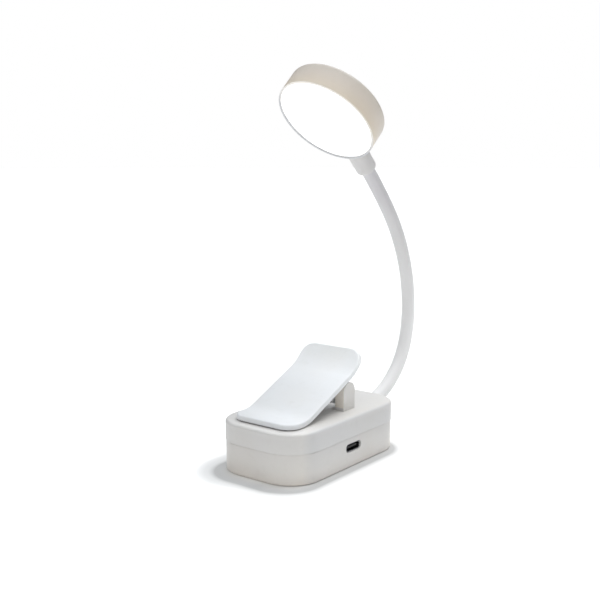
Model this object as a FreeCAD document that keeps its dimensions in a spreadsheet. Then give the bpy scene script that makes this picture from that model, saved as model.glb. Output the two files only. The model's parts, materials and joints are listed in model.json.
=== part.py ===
"""Clip-on reading lamp: a battery base with a spring clip, a bendable neck and a round LED head.

The frame is +Z up with the origin at the middle of the base's footprint, on the surface it stands on.
The base is long in Y. The clip's jaw is at -Y, the neck leaves the wall at +Y and the charging socket
is in the wall at +X. All sizes are millimetres and all angles degrees.
"""

import FreeCAD, Part
import math
import os
import re

import Sketcher

DIMENSIONS = (
    # base
    ("base_length", 70.0, "overall length of the base, along Y"),
    ("base_width", 40.5, "overall width of the base, along X"),
    ("base_corner", 13.0, "radius of the base's upright corners"),
    ("base_top", 19.25, "height of the base's top face"),
    ("seam_height", 11.7, "height of the joint between the two shells"),
    ("foot_gap", 0.35, "height of the lower shell's underside"),
    ("shell_step", 0.2, "how far the lower shell stands back from the upper one"),
    ("wall", 1.6, "wall thickness of both shells"),
    ("floor_thick", 1.9, "thickness of the lower shell's floor"),
    ("roof_thick", 1.8, "thickness of the upper shell's roof"),
    ("top_round", 1.0, "radius of the top edge"),
    ("bottom_round", 0.5, "radius of the bottom edge"),
    ("seam_round_lower", 0.2, "radius of the lower shell's edge at the joint"),
    ("seam_round_upper", 0.1, "radius of the upper shell's edge at the joint"),
    # bosses, screws and underside
    ("boss_x", 12.6, "screw boss, distance from the middle in X"),
    ("boss_y", 27.2, "screw boss, distance from the middle in Y"),
    ("boss_radius", 2.6, "outer radius of a screw boss"),
    ("screw_radius", 0.95, "radius of a case screw's shank"),
    ("screw_clear", 1.1, "radius of the clearance hole in the lower shell"),
    ("screw_head_radius", 1.9, "radius of a case screw's head"),
    ("screw_head_height", 1.2, "height of a case screw's head"),
    ("screw_seat", 5.0, "height of the shoulder that the screw heads bear on"),
    ("screw_reach", 4.4, "length of screw inside the upper shell"),
    ("screw_room", 0.3, "free depth past a case screw's tip"),
    ("small_screw", 0.6, "radius of a board screw's shank"),
    ("small_clear", 0.7, "radius of a board screw's hole in a board"),
    ("small_head", 1.3, "radius of a board screw's head"),
    ("small_head_height", 0.8, "height of a board screw's head"),
    ("small_reach", 2.0, "length of a board screw inside its post"),
    ("mat_margin", 2.6, "distance of the rubber mat from the upper shell's outline"),
    ("mat_sink", 0.7, "depth of the mat's recess"),
    ("mat_gap", 0.05, "gap around the mat in its recess"),
    ("mat_round", 0.3, "radius of the mat's lower edge"),
    # charging socket
    ("socket_height", 7.8, "height of the socket's centre"),
    ("slot_width", 9.9, "length of the socket's opening in the wall"),
    ("slot_height", 3.46, "height of the socket's opening"),
    ("plug_width", 8.94, "outer width of the socket's metal shell"),
    ("plug_height", 3.26, "outer height of the socket's metal shell"),
    ("plug_metal", 0.3, "thickness of the socket's metal shell"),
    ("plug_depth", 7.3, "length of the socket's metal shell"),
    ("plug_back", 0.4, "thickness of the closed rear of the metal shell"),
    ("plug_flat", 0.35, "half of the straight part at the metal shell's ends"),
    ("tongue_width", 6.7, "width of the contact tongue"),
    ("tongue_thick", 0.7, "thickness of the contact tongue"),
    ("tongue_back", 0.7, "how far the tongue's tip is behind the mouth"),
    ("tongue_root_width", 7.4, "width of the tongue's root"),
    ("tongue_root_height", 2.2, "height of the tongue's root"),
    ("tongue_root_depth", 1.2, "depth of the tongue's root"),
    ("plug_recess", 0.35, "how far the socket's mouth is inside the wall's face"),
    # power button
    ("button_length", 9.0, "length of the button along Y"),
    ("button_height", 3.6, "height of the button"),
    ("button_proud", 0.7, "how far the button stands out of the wall"),
    ("button_gap", 0.2, "gap around the button"),
    ("button_flange", 0.9, "width of the flange that keeps the button in"),
    ("button_level", 8.6, "height of the button's centre"),
    ("button_edge", 0.35, "radius of the button's outer edge"),
    ("button_flange_thick", 0.8, "thickness of the button's flange"),
    ("button_play", 0.1, "gap between the flange and the wall"),
    ("button_stem", 1.1, "radius of the stem that presses the switch"),
    ("switch_inset", 0.2, "distance of the switch from the board's edge"),
    ("switch_depth", 3.4, "size of the switch in X"),
    ("switch_width", 4.6, "size of the switch in Y"),
    ("switch_height", 3.4, "height of the switch"),
    ("switch_stem", 0.9, "radius of the switch's stem"),
    ("switch_reach", 0.7, "how far the switch's stem stands out"),
    ("switch_gap", 0.55, "gap between the button's stem and the switch's"),
    # board and battery
    ("board_thick", 1.0, "thickness of the circuit board"),
    ("board_width", 32.0, "width of the circuit board in X"),
    ("board_length", 24.0, "length of the circuit board in Y"),
    ("board_shift", 1.6, "how far the board is moved towards the socket"),
    ("board_corner", 1.5, "corner radius of the circuit board"),
    ("post_radius", 1.9, "radius of the board's posts"),
    ("post_x", 11.5, "board post, distance from the board's middle in X"),
    ("post_y", 9.2, "board post, distance from the board's middle in Y"),
    ("cell_length", 41.0, "length of the battery cell"),
    ("cell_width", 30.0, "width of the battery cell"),
    ("cell_thick", 5.2, "thickness of the battery cell"),
    ("cell_shift", -3.5, "how far the cell's middle is moved along Y"),
    ("cell_corner", 2.0, "corner radius of the battery cell"),
    ("tape_thick", 0.4, "thickness of the tape that holds the cell"),
    ("tape_margin", 3.0, "distance of the tape's edge from the cell's"),
    # clip
    ("pivot_y", 7.2, "hinge pin's place along Y"),
    ("pivot_z", 26.4, "hinge pin's height"),
    ("ear_radius", 3.7, "radius of the ears' rounded tops"),
    ("ear_inside", 8.9, "distance of an ear's inner face from the middle"),
    ("ear_outside", 12.9, "distance of an ear's outer face from the middle"),
    ("pin_radius", 1.2, "radius of the hinge pin"),
    ("pin_gap", 0.05, "running clearance around the hinge pin"),
    ("pin_wall", 1.2, "thickness of the blind end of the pin's hole"),
    ("lever_half", 14.25, "half the width of the lever's plate"),
    ("lever_thick", 1.9, "thickness of the lever's plate"),
    ("lever_front", -30.7, "front edge of the lever's lip"),
    ("lever_level", 21.6, "height of the lip's top face"),
    ("lever_flat", 6.46, "length of the flat lip"),
    ("lever_bend", 15.1, "bend radius between the lip and the slope"),
    ("lever_slope", 24.0, "angle of the slope"),
    ("lever_run", 25.8, "length of the straight slope"),
    ("lever_curl", 16.4, "radius of the upturned thumb end"),
    ("lever_end", 67.0, "angle of the thumb end's last edge"),
    ("lever_front_corner", 5.6, "corner radius of the lip"),
    ("lever_rear_corner", 5.7, "corner radius of the thumb end"),
    ("lever_edge", 0.6, "radius of the plate's upper edge"),
    ("lug_inside", 5.2, "distance of a lug's inner face from the middle"),
    ("lug_outside", 7.8, "distance of a lug's outer face from the middle"),
    ("lug_radius", 5.6, "radius of a lug around the pin"),
    ("lug_top_rear", 4.5, "top of a lug's rear edge, behind the pin"),
    ("lug_top_rear_rise", 10.4, "top of a lug's rear edge, above the pin"),
    ("lug_top_front", 9.0, "top of a lug's front edge, ahead of the pin"),
    ("lug_top_front_rise", 2.7, "top of a lug's front edge, above the pin"),
    ("pad_half", 11.0, "half the width of the two grip pads"),
    ("pad_rear", -23.2, "rear edge of the base's grip pad"),
    ("pad_inset", 1.4, "how far the grip pads keep behind the lip's front edge"),
    ("pad_sink", 0.7, "depth of the base's grip pad"),
    ("jaw_pad_thick", 0.4, "thickness of the lip's grip pad"),
    ("pad_end_gap", 0.4, "distance of the lip's grip pad from the bend"),
    ("spring_radius", 2.1, "mean radius of the spring's coil"),
    ("spring_wire", 0.45, "radius of the spring's wire"),
    ("spring_turns", 7, "turns in the spring's coil"),
    ("spring_pitch", 1.0, "distance from one turn to the next"),
    ("spring_base_rise", -34.9, "angle of the leg that bears on the base"),
    ("spring_base_leg", 8.6, "length of the leg that bears on the base"),
    ("spring_lever_rise", 75.0, "angle of the leg that bears on the lever"),
    ("spring_lever_leg", 4.6, "length of the leg that bears on the lever"),
    # neck
    ("neck_height", 12.1, "height of the neck's axis where it crosses the rear wall"),
    ("neck_tilt", 6.4, "upward tilt of the neck where it leaves the base"),
    ("ferrule_reach", 6.0, "length of the ferrule outside the wall"),
    ("neck_end_length", 7.0, "length of neck between an end fitting and the first bend centre"),
    ("neck_pitch", 15.67, "distance between bend centres along the neck"),
    ("turn_0", 13.9, "turn of neck section 0 at rest"),
    ("turn_1", 24.1, "turn of neck section 1 at rest"),
    ("turn_2", 28.3, "turn of neck section 2 at rest"),
    ("turn_3", 20.5, "turn of neck section 3 at rest"),
    ("turn_4", 14.1, "turn of neck section 4 at rest"),
    ("turn_5", 12.6, "turn of neck section 5 at rest"),
    ("turn_6", 10.6, "turn of neck section 6 at rest"),
    ("turn_7", 3.6, "turn of neck section 7 at rest"),
    ("turn_8", 2.4, "turn of neck section 8 at rest"),
    ("sleeve_radius", 2.8, "outer radius of the soft sleeve"),
    ("core_radius", 1.75, "outer radius of the bendable steel core"),
    ("core_bore", 1.1, "inner radius of the steel core"),
    ("core_gap", 0.05, "gap between the core and the sleeve"),
    ("wire_radius", 0.42, "radius of a lead"),
    ("wire_side", 0.5, "distance of a lead from the neck's axis"),
    ("ball_radius", 3.5, "radius of the ball-shaped end of a section"),
    ("cup_radius", 3.65, "radius of the hollow end that fits over a ball"),
    ("neck_lead_in", 6.5, "length of neck inside the rear wall"),
    ("neck_lead_out", 9.0, "length of neck inside the head's boss"),
    ("ferrule_radius", 4.6, "outer radius of the ferrule"),
    ("ferrule_throat", 4.0, "radius of the ferrule where the shells grip it"),
    ("ferrule_flange", 5.6, "radius of the ferrule's inner flange"),
    ("ferrule_inside", 4.2, "length of the ferrule inside the wall's face"),
    ("ferrule_step", 0.55, "gap between the wall's face and the ferrule's wide part"),
    ("ferrule_round", 1.2, "radius of the ferrule's outer edge"),
    ("ferrule_play", 1.0, "gap between the wall's inner face and the ferrule's flange"),
    ("ferrule_gap", 0.25, "gap between the ferrule and the shells around it"),
    ("sleeve_fit", 0.02, "gap around the sleeve in its fittings"),
    # head
    ("head_radius", 20.25, "outer radius of the head"),
    ("head_depth", 10.4, "thickness of the head"),
    ("head_wall", 1.5, "side wall of the head"),
    ("head_back", 1.6, "back wall of the head"),
    ("head_round", 1.5, "radius of the head's back edge"),
    ("head_twist", -4.9, "turn of the head about the neck's end"),
    ("rim_width", 0.82, "width of the rim around the diffuser"),
    ("diffuser_thick", 1.5, "thickness of the diffuser"),
    ("diffuser_sink", 0.1, "how far the diffuser's face is below the rim"),
    ("diffuser_gap", 0.03, "gap around the diffuser"),
    ("diffuser_edge", 0.2, "radius of the diffuser's outer edge"),
    ("boss_length", 12.8, "length of the head's neck socket"),
    ("boss_outer", 4.2, "outer radius of the neck socket"),
    ("boss_back", 0.9, "how far the neck socket is behind the head's middle plane"),
    ("boss_end_round", 1.7, "radius of the neck socket's end"),
    ("lead_passage", 1.5, "radius of the leads' way through the neck socket"),
    ("lamp_post_ring", 15.2, "distance of the LED board's posts from the middle"),
    ("lamp_post_radius", 1.8, "radius of the LED board's posts"),
    ("lamp_board_radius", 17.6, "radius of the LED board"),
    ("lamp_board_thick", 1.0, "thickness of the LED board"),
    ("lamp_board_level", 0.6, "height of the LED board's face in the head"),
    ("led_count", 16, "number of LEDs in the ring"),
    ("led_ring", 12.0, "radius of the ring of LEDs"),
    ("led_width", 2.8, "size of an LED towards the middle"),
    ("led_length", 3.5, "size of an LED around the ring"),
    ("led_height", 0.8, "height of an LED"),
    ("lamp_wire_hole", 2.0, "radius of the LED board's hole for the leads"),
    ("lamp_wire_place", 9.0, "distance of that hole from the middle"),
)

NECK_SECTIONS = 9

# Parts soldered on the board: place along X and Y, size along X and Y, and height.
BOARD_PARTS = (
    (-3.0, -5.0, 4.0, 4.0, 1.0),
    (3.5, -5.5, 4.0, 4.0, 2.0),
    (-2.5, 2.0, 3.0, 1.6, 1.1),
    (2.5, 2.5, 2.0, 1.25, 0.8),
    (-8.5, -6.0, 2.0, 1.25, 0.8),
    (-5.5, 6.5, 1.6, 0.8, 0.6),
    (0.5, 6.5, 1.6, 0.8, 0.6),
)

document = FreeCAD.newDocument("reading_lamp")
sheet = document.addObject("Spreadsheet::Sheet", "Dimensions")
for row, (alias, size, note) in enumerate(DIMENSIONS, start=1):
    sheet.set(f"A{row}", alias)
    sheet.set(f"B{row}", str(size))
    sheet.set(f"C{row}", note)
    sheet.setAlias(f"B{row}", alias)
document.recompute()

ALIAS = re.compile(r"\b(" + "|".join(entry[0] for entry in DIMENSIONS) + r")\b")
X, Y, Z = FreeCAD.Vector(1, 0, 0), FreeCAD.Vector(0, 1, 0), FreeCAD.Vector(0, 0, 1)
subparts = []


# ---------------------------------------------------------------- sizes and placements


def bound(text):
    """Turn a formula in the sheet's aliases into a FreeCAD expression."""
    return ALIAS.sub(r"Dimensions.\1", str(text))


def number(text):
    """Value of a formula, as FreeCAD works it out."""
    return float(sheet.evalExpression(bound(text)))


def bind(item, **formulas):
    """Bind properties of an object to formulas in the sheet's aliases."""
    for name, text in formulas.items():
        item.setExpression(name, bound(text))
    return item


def at(x=0, y=0, z=0, rotation=None):
    """Placement at a point given by formulas."""
    return FreeCAD.Placement(FreeCAD.Vector(number(x), number(y), number(z)), rotation or FreeCAD.Rotation())


def pointing(direction):
    """Rotation that turns +Z to a direction."""
    return FreeCAD.Rotation(Z, direction)


def subpart(item, label):
    """Name a finished piece and list it for export."""
    item.Label = label
    subparts.append(item)
    return item


# ---------------------------------------------------------------- PartDesign helpers


def new_body(label, placement=None):
    body = document.addObject("PartDesign::Body", label)
    body.Placement = placement or FreeCAD.Placement()
    return subpart(body, label)


def new_sketch(body, role, offset="0"):
    """Sketch on one of the body's own planes, moved along the plane's normal."""
    sketch = body.newObject("Sketcher::SketchObject", "outline")
    plane = next(item for item in body.Origin.OriginFeatures if item.Role == role)
    sketch.AttachmentSupport = [(plane, "")]
    sketch.MapMode = "FlatFace"
    sketch.setExpression("AttachmentOffset.Base.z", bound(offset))
    return sketch


def hold(sketch, geometry, vertex, x, y):
    """Fix a sketch point at formulas."""
    for kind, text in (("DistanceX", x), ("DistanceY", y)):
        rule = Sketcher.Constraint(kind, -1, 1, geometry, vertex, number(text))
        index = sketch.addConstraint(rule)
        sketch.setExpression(f"Constraints[{index}]", bound(text))


def arc_between(start, end, radius, turn):
    """Arc of less than half a circle, turning left for turn 1 and right for turn -1."""
    chord = end - start
    rise = math.sqrt(max(radius**2 - (chord.Length / 2) ** 2, 0))
    left = FreeCAD.Vector(-chord.y, chord.x, 0).normalize()
    centre = (start + end) * 0.5 + left * (rise * turn)
    first, last = (start, end) if turn > 0 else (end, start)
    angles = [math.atan2(point.y - centre.y, point.x - centre.x) for point in (first, last)]
    return Part.ArcOfCircle(Part.Circle(centre, Z, radius), *angles)


def outline(sketch, corners):
    """Close an outline. A corner (x, y) ends a line, and (x, y, radius, turn) ends an arc."""
    points = [FreeCAD.Vector(number(corner[0]), number(corner[1]), 0) for corner in corners]
    first = sketch.GeometryCount
    ends = []
    for index, corner in enumerate(corners):
        start, end = points[index - 1], points[index]
        if len(corner) == 2:
            sketch.addGeometry(Part.LineSegment(start, end), False)
            ends.append((1, 2))
        else:
            sketch.addGeometry(arc_between(start, end, number(corner[2]), corner[3]), False)
            ends.append((1, 2) if corner[3] > 0 else (2, 1))
    for index, corner in enumerate(corners):
        after = (index + 1) % len(corners)
        joint = (first + index, ends[index][1], first + after, ends[after][0])
        sketch.addConstraint(Sketcher.Constraint("Coincident", *joint))
        hold(sketch, first + index, ends[index][1], corner[0], corner[1])
        if len(corner) == 4:
            rule = Sketcher.Constraint("Radius", first + index, number(corner[2]))
            sketch.setExpression(f"Constraints[{sketch.addConstraint(rule)}]", bound(corner[2]))
    return sketch


def rectangle(sketch, x, y, width, height, corner=None):
    """Rectangle about a centre, with rounded corners if a corner radius is given."""
    corners = []
    for i, j in ((-1, -1), (1, -1), (1, 1), (-1, 1)):
        side_x, side_y = f"{x} + ({i}) * ({width}) / 2", f"{y} + ({j}) * ({height}) / 2"
        if corner is None:
            corners.append((side_x, side_y))
            continue
        before = (side_x, f"{side_y} - ({j}) * ({corner})")
        after = (f"{side_x} - ({i}) * ({corner})", side_y)
        first, last = (before, after) if i * j > 0 else (after, before)
        corners += [first, (*last, corner, 1)]
    return outline(sketch, corners)


def circles(sketch, radius, centres):
    """Circles of one radius."""
    for x, y in centres:
        circle = Part.Circle(FreeCAD.Vector(number(x), number(y), 0), Z, number(radius))
        index = sketch.addGeometry(circle, False)
        hold(sketch, index, 3, x, y)
        rule = Sketcher.Constraint("Radius", index, number(radius))
        sketch.setExpression(f"Constraints[{sketch.addConstraint(rule)}]", bound(radius))
    return sketch


def settle(body, feature):
    """Work a new feature out, and stop if it fails."""
    document.recompute()
    if not feature.isValid() or feature.Shape.isNull():
        raise RuntimeError(f"{body.Label}: {feature.Name} fails: {feature.getStatusString()}")
    return feature


def pad(body, sketch, length, reverse=False):
    feature = body.newObject("PartDesign::Pad", "pad")
    feature.Profile = sketch
    feature.Reversed = reverse
    bind(feature, Length=length)
    return settle(body, feature)


def pocket(body, sketch, length, reverse=False):
    """Cut a sketch out of the body, and make sure that it cuts something."""
    before = body.Tip.Shape.Volume
    feature = body.newObject("PartDesign::Pocket", "pocket")
    feature.Profile = sketch
    feature.Reversed = reverse
    bind(feature, Length=length)
    if settle(body, feature).Shape.Volume > before - 1e-3:
        raise RuntimeError(f"{body.Label}: {feature.Name} cuts nothing")
    return feature


def revolve(body, sketch):
    """Turn a sketch a full circle about its own vertical axis."""
    feature = body.newObject("PartDesign::Revolution", "turned")
    feature.Profile = sketch
    feature.ReferenceAxis = (sketch, ["V_Axis"])
    feature.Angle = 360
    return settle(body, feature)


def round_edges(body, radius, chosen):
    """Fillet the edges of the body that a test picks."""
    base = body.Tip
    names = [f"Edge{i}" for i, edge in enumerate(base.Shape.Edges, start=1) if chosen(edge)]
    if not names:
        raise RuntimeError(f"{body.Label}: no edge to round")
    feature = body.newObject("PartDesign::Fillet", "rounding")
    feature.Base = (base, names)
    bind(feature, Radius=radius)
    return settle(body, feature)


def runs_along(edge, axis):
    """True for a straight edge parallel to an axis."""
    if edge.Curve.TypeId != "Part::GeomLine":
        return False
    return abs(abs(edge.tangentAt(edge.FirstParameter).dot(axis)) - 1) < 1e-6


def spans(edge, axis, low, high):
    """True if the whole edge lies between two levels along an axis."""
    box = edge.BoundBox
    bottom, top = {"x": (box.XMin, box.XMax), "y": (box.YMin, box.YMax), "z": (box.ZMin, box.ZMax)}[axis]
    return bottom > number(low) - 1e-3 and top < number(high) + 1e-3


def block(body, role, offset, centre, size, corner, length):
    """Rounded rectangular block."""
    return pad(body, rectangle(new_sketch(body, role, offset), *centre, *size, corner), length)


# ---------------------------------------------------------------- Part helpers


def cylinder(radius, height, placement):
    item = document.addObject("Part::Cylinder", "rod")
    item.Placement = placement
    return bind(item, Radius=radius, Height=height)


def box(size, placement):
    """Box centred on its placement in X and Y, and standing on it."""
    item = document.addObject("Part::Box", "box")
    shift = FreeCAD.Vector(-number(size[0]) / 2, -number(size[1]) / 2, 0)
    item.Placement = placement.multiply(FreeCAD.Placement(shift, FreeCAD.Rotation()))
    return bind(item, Length=size[0], Width=size[1], Height=size[2])


def sphere(radius, centre):
    item = document.addObject("Part::Sphere", "ball")
    item.Placement = FreeCAD.Placement(centre, FreeCAD.Rotation())
    return bind(item, Radius=radius)


def combine(kind, base, tool):
    """Part::Cut, Part::Fuse or Part::Common of two objects."""
    item = document.addObject(kind, "combined")
    item.Base = base
    item.Tool = tool
    return item


def group(label, items):
    """Identical or matching solids that share one node."""
    item = document.addObject("Part::Compound", label)
    item.Links = items
    return subpart(item, label)


# ---------------------------------------------------------------- base


CORNERS = [(f"{i} * boss_x", f"{j} * boss_y") for i in (-1, 1) for j in (-1, 1)]
POSTS = [(f"board_shift + {i} * post_x", f"{j} * post_y") for i, j in ((-1, 1), (1, -1))]
BOARD_BOTTOM = "socket_height - plug_height / 2 - board_thick"
FLOOR = "foot_gap + floor_thick"
SWITCH_FACE = "(board_shift - board_width / 2 + switch_inset)"
MAT_SIZE = ("base_width - 2 * mat_margin", "base_length - 2 * mat_margin")
MAT_CORNER = "base_corner - mat_margin"


def lower_shell():
    body = new_body("base_lower_shell")
    size = ("base_width - 2 * shell_step", "base_length - 2 * shell_step")
    foot = rectangle(new_sketch(body, "XY_Plane", "foot_gap"), "0", "0", *size, "base_corner - shell_step")
    pad(body, foot, "seam_height - foot_gap")
    round_edges(body, "bottom_round", lambda edge: spans(edge, "z", "foot_gap", "foot_gap"))
    round_edges(body, "seam_round_lower", lambda edge: spans(edge, "z", "seam_height", "seam_height"))
    inner = [f"{side} - 2 * wall" for side in size]
    hollow = new_sketch(body, "XY_Plane", "seam_height")
    rectangle(hollow, "0", "0", *inner, "base_corner - shell_step - wall")
    pocket(body, hollow, f"seam_height - ({FLOOR})")
    bosses = circles(new_sketch(body, "XY_Plane", "foot_gap + floor_thick / 2"), "boss_radius", CORNERS)
    pad(body, bosses, "seam_height - foot_gap - floor_thick / 2")
    posts = circles(new_sketch(body, "XY_Plane", "foot_gap + floor_thick / 2"), "post_radius", POSTS)
    pad(body, posts, f"{BOARD_BOTTOM} - foot_gap - floor_thick / 2")
    pilots = circles(new_sketch(body, "XY_Plane", BOARD_BOTTOM), "small_screw", POSTS)
    pocket(body, pilots, "small_reach + screw_room")
    pocket(body, circles(new_sketch(body, "XY_Plane", "seam_height"), "screw_clear", CORNERS), "seam_height")
    seats = circles(new_sketch(body, "XY_Plane", "screw_seat"), "screw_head_radius + 0.2", CORNERS)
    pocket(body, seats, "screw_seat")
    mat = new_sketch(body, "XY_Plane", "foot_gap + mat_sink")
    pocket(body, rectangle(mat, "0", "0", *MAT_SIZE, MAT_CORNER), "mat_sink + 1")
    wall_cut(body, "base_width / 2 + 1", "0", "socket_height", "slot_width", "slot_height", "wall + 2")
    wall_cut(body, "-base_width / 2 + wall + 1", "0", "button_level", "button_length + 2 * button_gap",
             "button_height + 2 * button_gap", "wall + 2")
    ferrule_notch(body)


def wall_cut(body, offset, y, z, width, height, length):
    """Opening with round ends through a side wall, cut towards -X from its sketch."""
    slot = rectangle(new_sketch(body, "YZ_Plane", offset), y, z, width, height, f"({height}) / 2 - 0.02")
    pocket(body, slot, length)


def ferrule_notch(body):
    """Half of the round hole that holds the ferrule, through the rear wall."""
    sketch = new_sketch(body, "XZ_Plane", "-(base_length / 2 - shell_step - wall - 1)")
    pocket(body, circles(sketch, "ferrule_throat + ferrule_gap", [("0", "neck_height")]), "wall + 2")


def upper_shell():
    body = new_body("base_upper_shell")
    lid = new_sketch(body, "XY_Plane", "seam_height")
    pad(body, rectangle(lid, "0", "0", "base_width", "base_length", "base_corner"), "base_top - seam_height")
    round_edges(body, "top_round", lambda edge: spans(edge, "z", "base_top", "base_top"))
    round_edges(body, "seam_round_upper", lambda edge: spans(edge, "z", "seam_height", "seam_height"))
    inner = ("base_width - 2 * shell_step - 2 * wall", "base_length - 2 * shell_step - 2 * wall")
    hollow = new_sketch(body, "XY_Plane", "base_top - roof_thick")
    pocket(body, rectangle(hollow, "0", "0", *inner, "base_corner - shell_step - wall"), "base_top")
    bosses = circles(new_sketch(body, "XY_Plane", "seam_height"), "boss_radius", CORNERS)
    pad(body, bosses, "base_top - seam_height - roof_thick / 2")
    top = new_sketch(body, "XY_Plane", "seam_height + screw_reach + screw_room")
    pilots = circles(top, "screw_radius", CORNERS)
    pocket(body, pilots, "base_top")
    for side in (-1, 1):
        ear = new_sketch(body, "YZ_Plane", "ear_inside" if side > 0 else "-ear_outside")
        outline(ear, (
            ("pivot_y - ear_radius", "base_top - roof_thick / 2"),
            ("pivot_y + ear_radius", "base_top - roof_thick / 2"),
            ("pivot_y + ear_radius", "pivot_z"),
            ("pivot_y", "pivot_z + ear_radius", "ear_radius", 1),
            ("pivot_y - ear_radius", "pivot_z", "ear_radius", 1),
        ))
        pad(body, ear, "ear_outside - ear_inside")
    bore = new_sketch(body, "YZ_Plane", "ear_outside - pin_wall")
    circles(bore, "pin_radius + pin_gap", [("pivot_y", "pivot_z")])
    pocket(body, bore, "2 * ear_outside + 1")
    recess = new_sketch(body, "XY_Plane", "base_top")
    rectangle(recess, "0", "(lever_front + pad_inset + pad_rear) / 2", "2 * pad_half",
              "pad_rear - lever_front - pad_inset")
    pocket(body, recess, "pad_sink")
    ferrule_notch(body)


def fasteners():
    """Case screws and board screws."""
    screws = []
    for x, y in CORNERS:
        shank = cylinder("screw_radius", "seam_height + screw_reach - screw_seat", at(x, y, "screw_seat"))
        head = cylinder("screw_head_radius", "screw_head_height", at(x, y, "screw_seat - screw_head_height"))
        screws.append(combine("Part::Fuse", shank, head))
    group("base_screws", screws)
    small = []
    for x, y in POSTS:
        small.append(small_screw(at(x, y, f"{BOARD_BOTTOM} + board_thick"), "board_thick"))
    group("board_screws", small)


def small_screw(place, through):
    """Board screw whose head bears on a board at a placement, with the board's thickness under it."""
    length = f"small_reach + {through}"
    shank = cylinder("small_screw", length, place.multiply(at(0, 0, f"-({length})")))
    return combine("Part::Fuse", shank, cylinder("small_head", "small_head_height", place))


def underside_mat():
    """Rubber mat that the lamp stands on, which also hides the case screws."""
    body = new_body("underside_mat")
    size = [f"{side} - 2 * mat_gap" for side in MAT_SIZE]
    block(body, "XY_Plane", "0", ("0", "0"), size, f"{MAT_CORNER} - mat_gap", "foot_gap + mat_sink")
    round_edges(body, "mat_round", lambda edge: spans(edge, "z", "0", "0"))


def electronics():
    board = new_body("main_circuit_board")
    block(board, "XY_Plane", BOARD_BOTTOM, ("board_shift", "0"), ("board_width", "board_length"),
          "board_corner", "board_thick")
    holes = circles(new_sketch(board, "XY_Plane", BOARD_BOTTOM), "small_clear", POSTS)
    pocket(board, holes, "board_thick", True)
    top = f"{BOARD_BOTTOM} + board_thick"
    group("circuit_components", [box((width, length, tall), at(f"board_shift + {x}", y, top))
                                 for x, y, width, length, tall in BOARD_PARTS])
    socket()
    switch = new_body("tact_switch")
    case = new_sketch(switch, "XY_Plane", top)
    pad(switch, rectangle(case, f"{SWITCH_FACE} + switch_depth / 2", "0", "switch_depth", "switch_width"),
        "switch_height")
    stem = circles(new_sketch(switch, "YZ_Plane", f"{SWITCH_FACE} - switch_reach"), "switch_stem",
                   [("0", "button_level")])
    pad(switch, stem, "switch_reach + button_play")
    cell = new_body("battery_cell")
    ceiling = "base_top - roof_thick"
    block(cell, "XY_Plane", f"{ceiling} - tape_thick - cell_thick", ("0", "cell_shift"),
          ("cell_width", "cell_length"), "cell_corner", "cell_thick")
    tape = box(("cell_width - 2 * tape_margin", "cell_length - 2 * tape_margin", "tape_thick"),
               at("0", "cell_shift", f"{ceiling} - tape_thick"))
    subpart(tape, "battery_tape")


def socket():
    """USB-C receptacle: a flattened metal tube with a tongue inside."""
    mouth = "base_width / 2 - shell_step - plug_recess"
    shell = new_body("usb_c_shell")
    block(shell, "YZ_Plane", f"{mouth} - plug_depth", ("0", "socket_height"), ("plug_width", "plug_height"),
          "plug_height / 2 - plug_flat", "plug_depth")
    hollow = new_sketch(shell, "YZ_Plane", mouth)
    rectangle(hollow, "0", "socket_height", "plug_width - 2 * plug_metal", "plug_height - 2 * plug_metal",
              "plug_height / 2 - plug_flat - plug_metal")
    pocket(shell, hollow, "plug_depth - plug_back")
    tongue = new_body("usb_c_tongue")
    rear = f"{mouth} - plug_depth + plug_back"
    root = new_sketch(tongue, "YZ_Plane", rear)
    pad(tongue, rectangle(root, "0", "socket_height", "tongue_root_width", "tongue_root_height"),
        "tongue_root_depth")
    blade = new_sketch(tongue, "YZ_Plane", rear)
    pad(tongue, rectangle(blade, "0", "socket_height", "tongue_width", "tongue_thick"),
        "plug_depth - plug_back - tongue_back")


def power_button():
    """Pill-shaped button in the -X wall, kept in by a flange, with a stem that presses the switch."""
    body = new_body("power_button")
    inside = "-base_width / 2 + shell_step + wall"
    face = "-base_width / 2 + shell_step - button_proud"
    block(body, "YZ_Plane", face, ("0", "button_level"), ("button_length", "button_height"),
          "button_height / 2 - 0.05", "button_proud + wall + button_play")
    round_edges(body, "button_edge", lambda edge: spans(edge, "x", face, face))
    flange = rectangle(new_sketch(body, "YZ_Plane", f"{inside} + button_play"), "0", "button_level",
                       "button_length + 2 * button_flange", "button_height + 2 * button_flange")
    pad(body, flange, "button_flange_thick")
    behind = f"{inside} + button_play + button_flange_thick / 2"
    stem = circles(new_sketch(body, "YZ_Plane", behind), "button_stem", [("0", "button_level")])
    pad(body, stem, f"{SWITCH_FACE} - switch_reach - switch_gap - ({behind})")


# ---------------------------------------------------------------- clip


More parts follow.
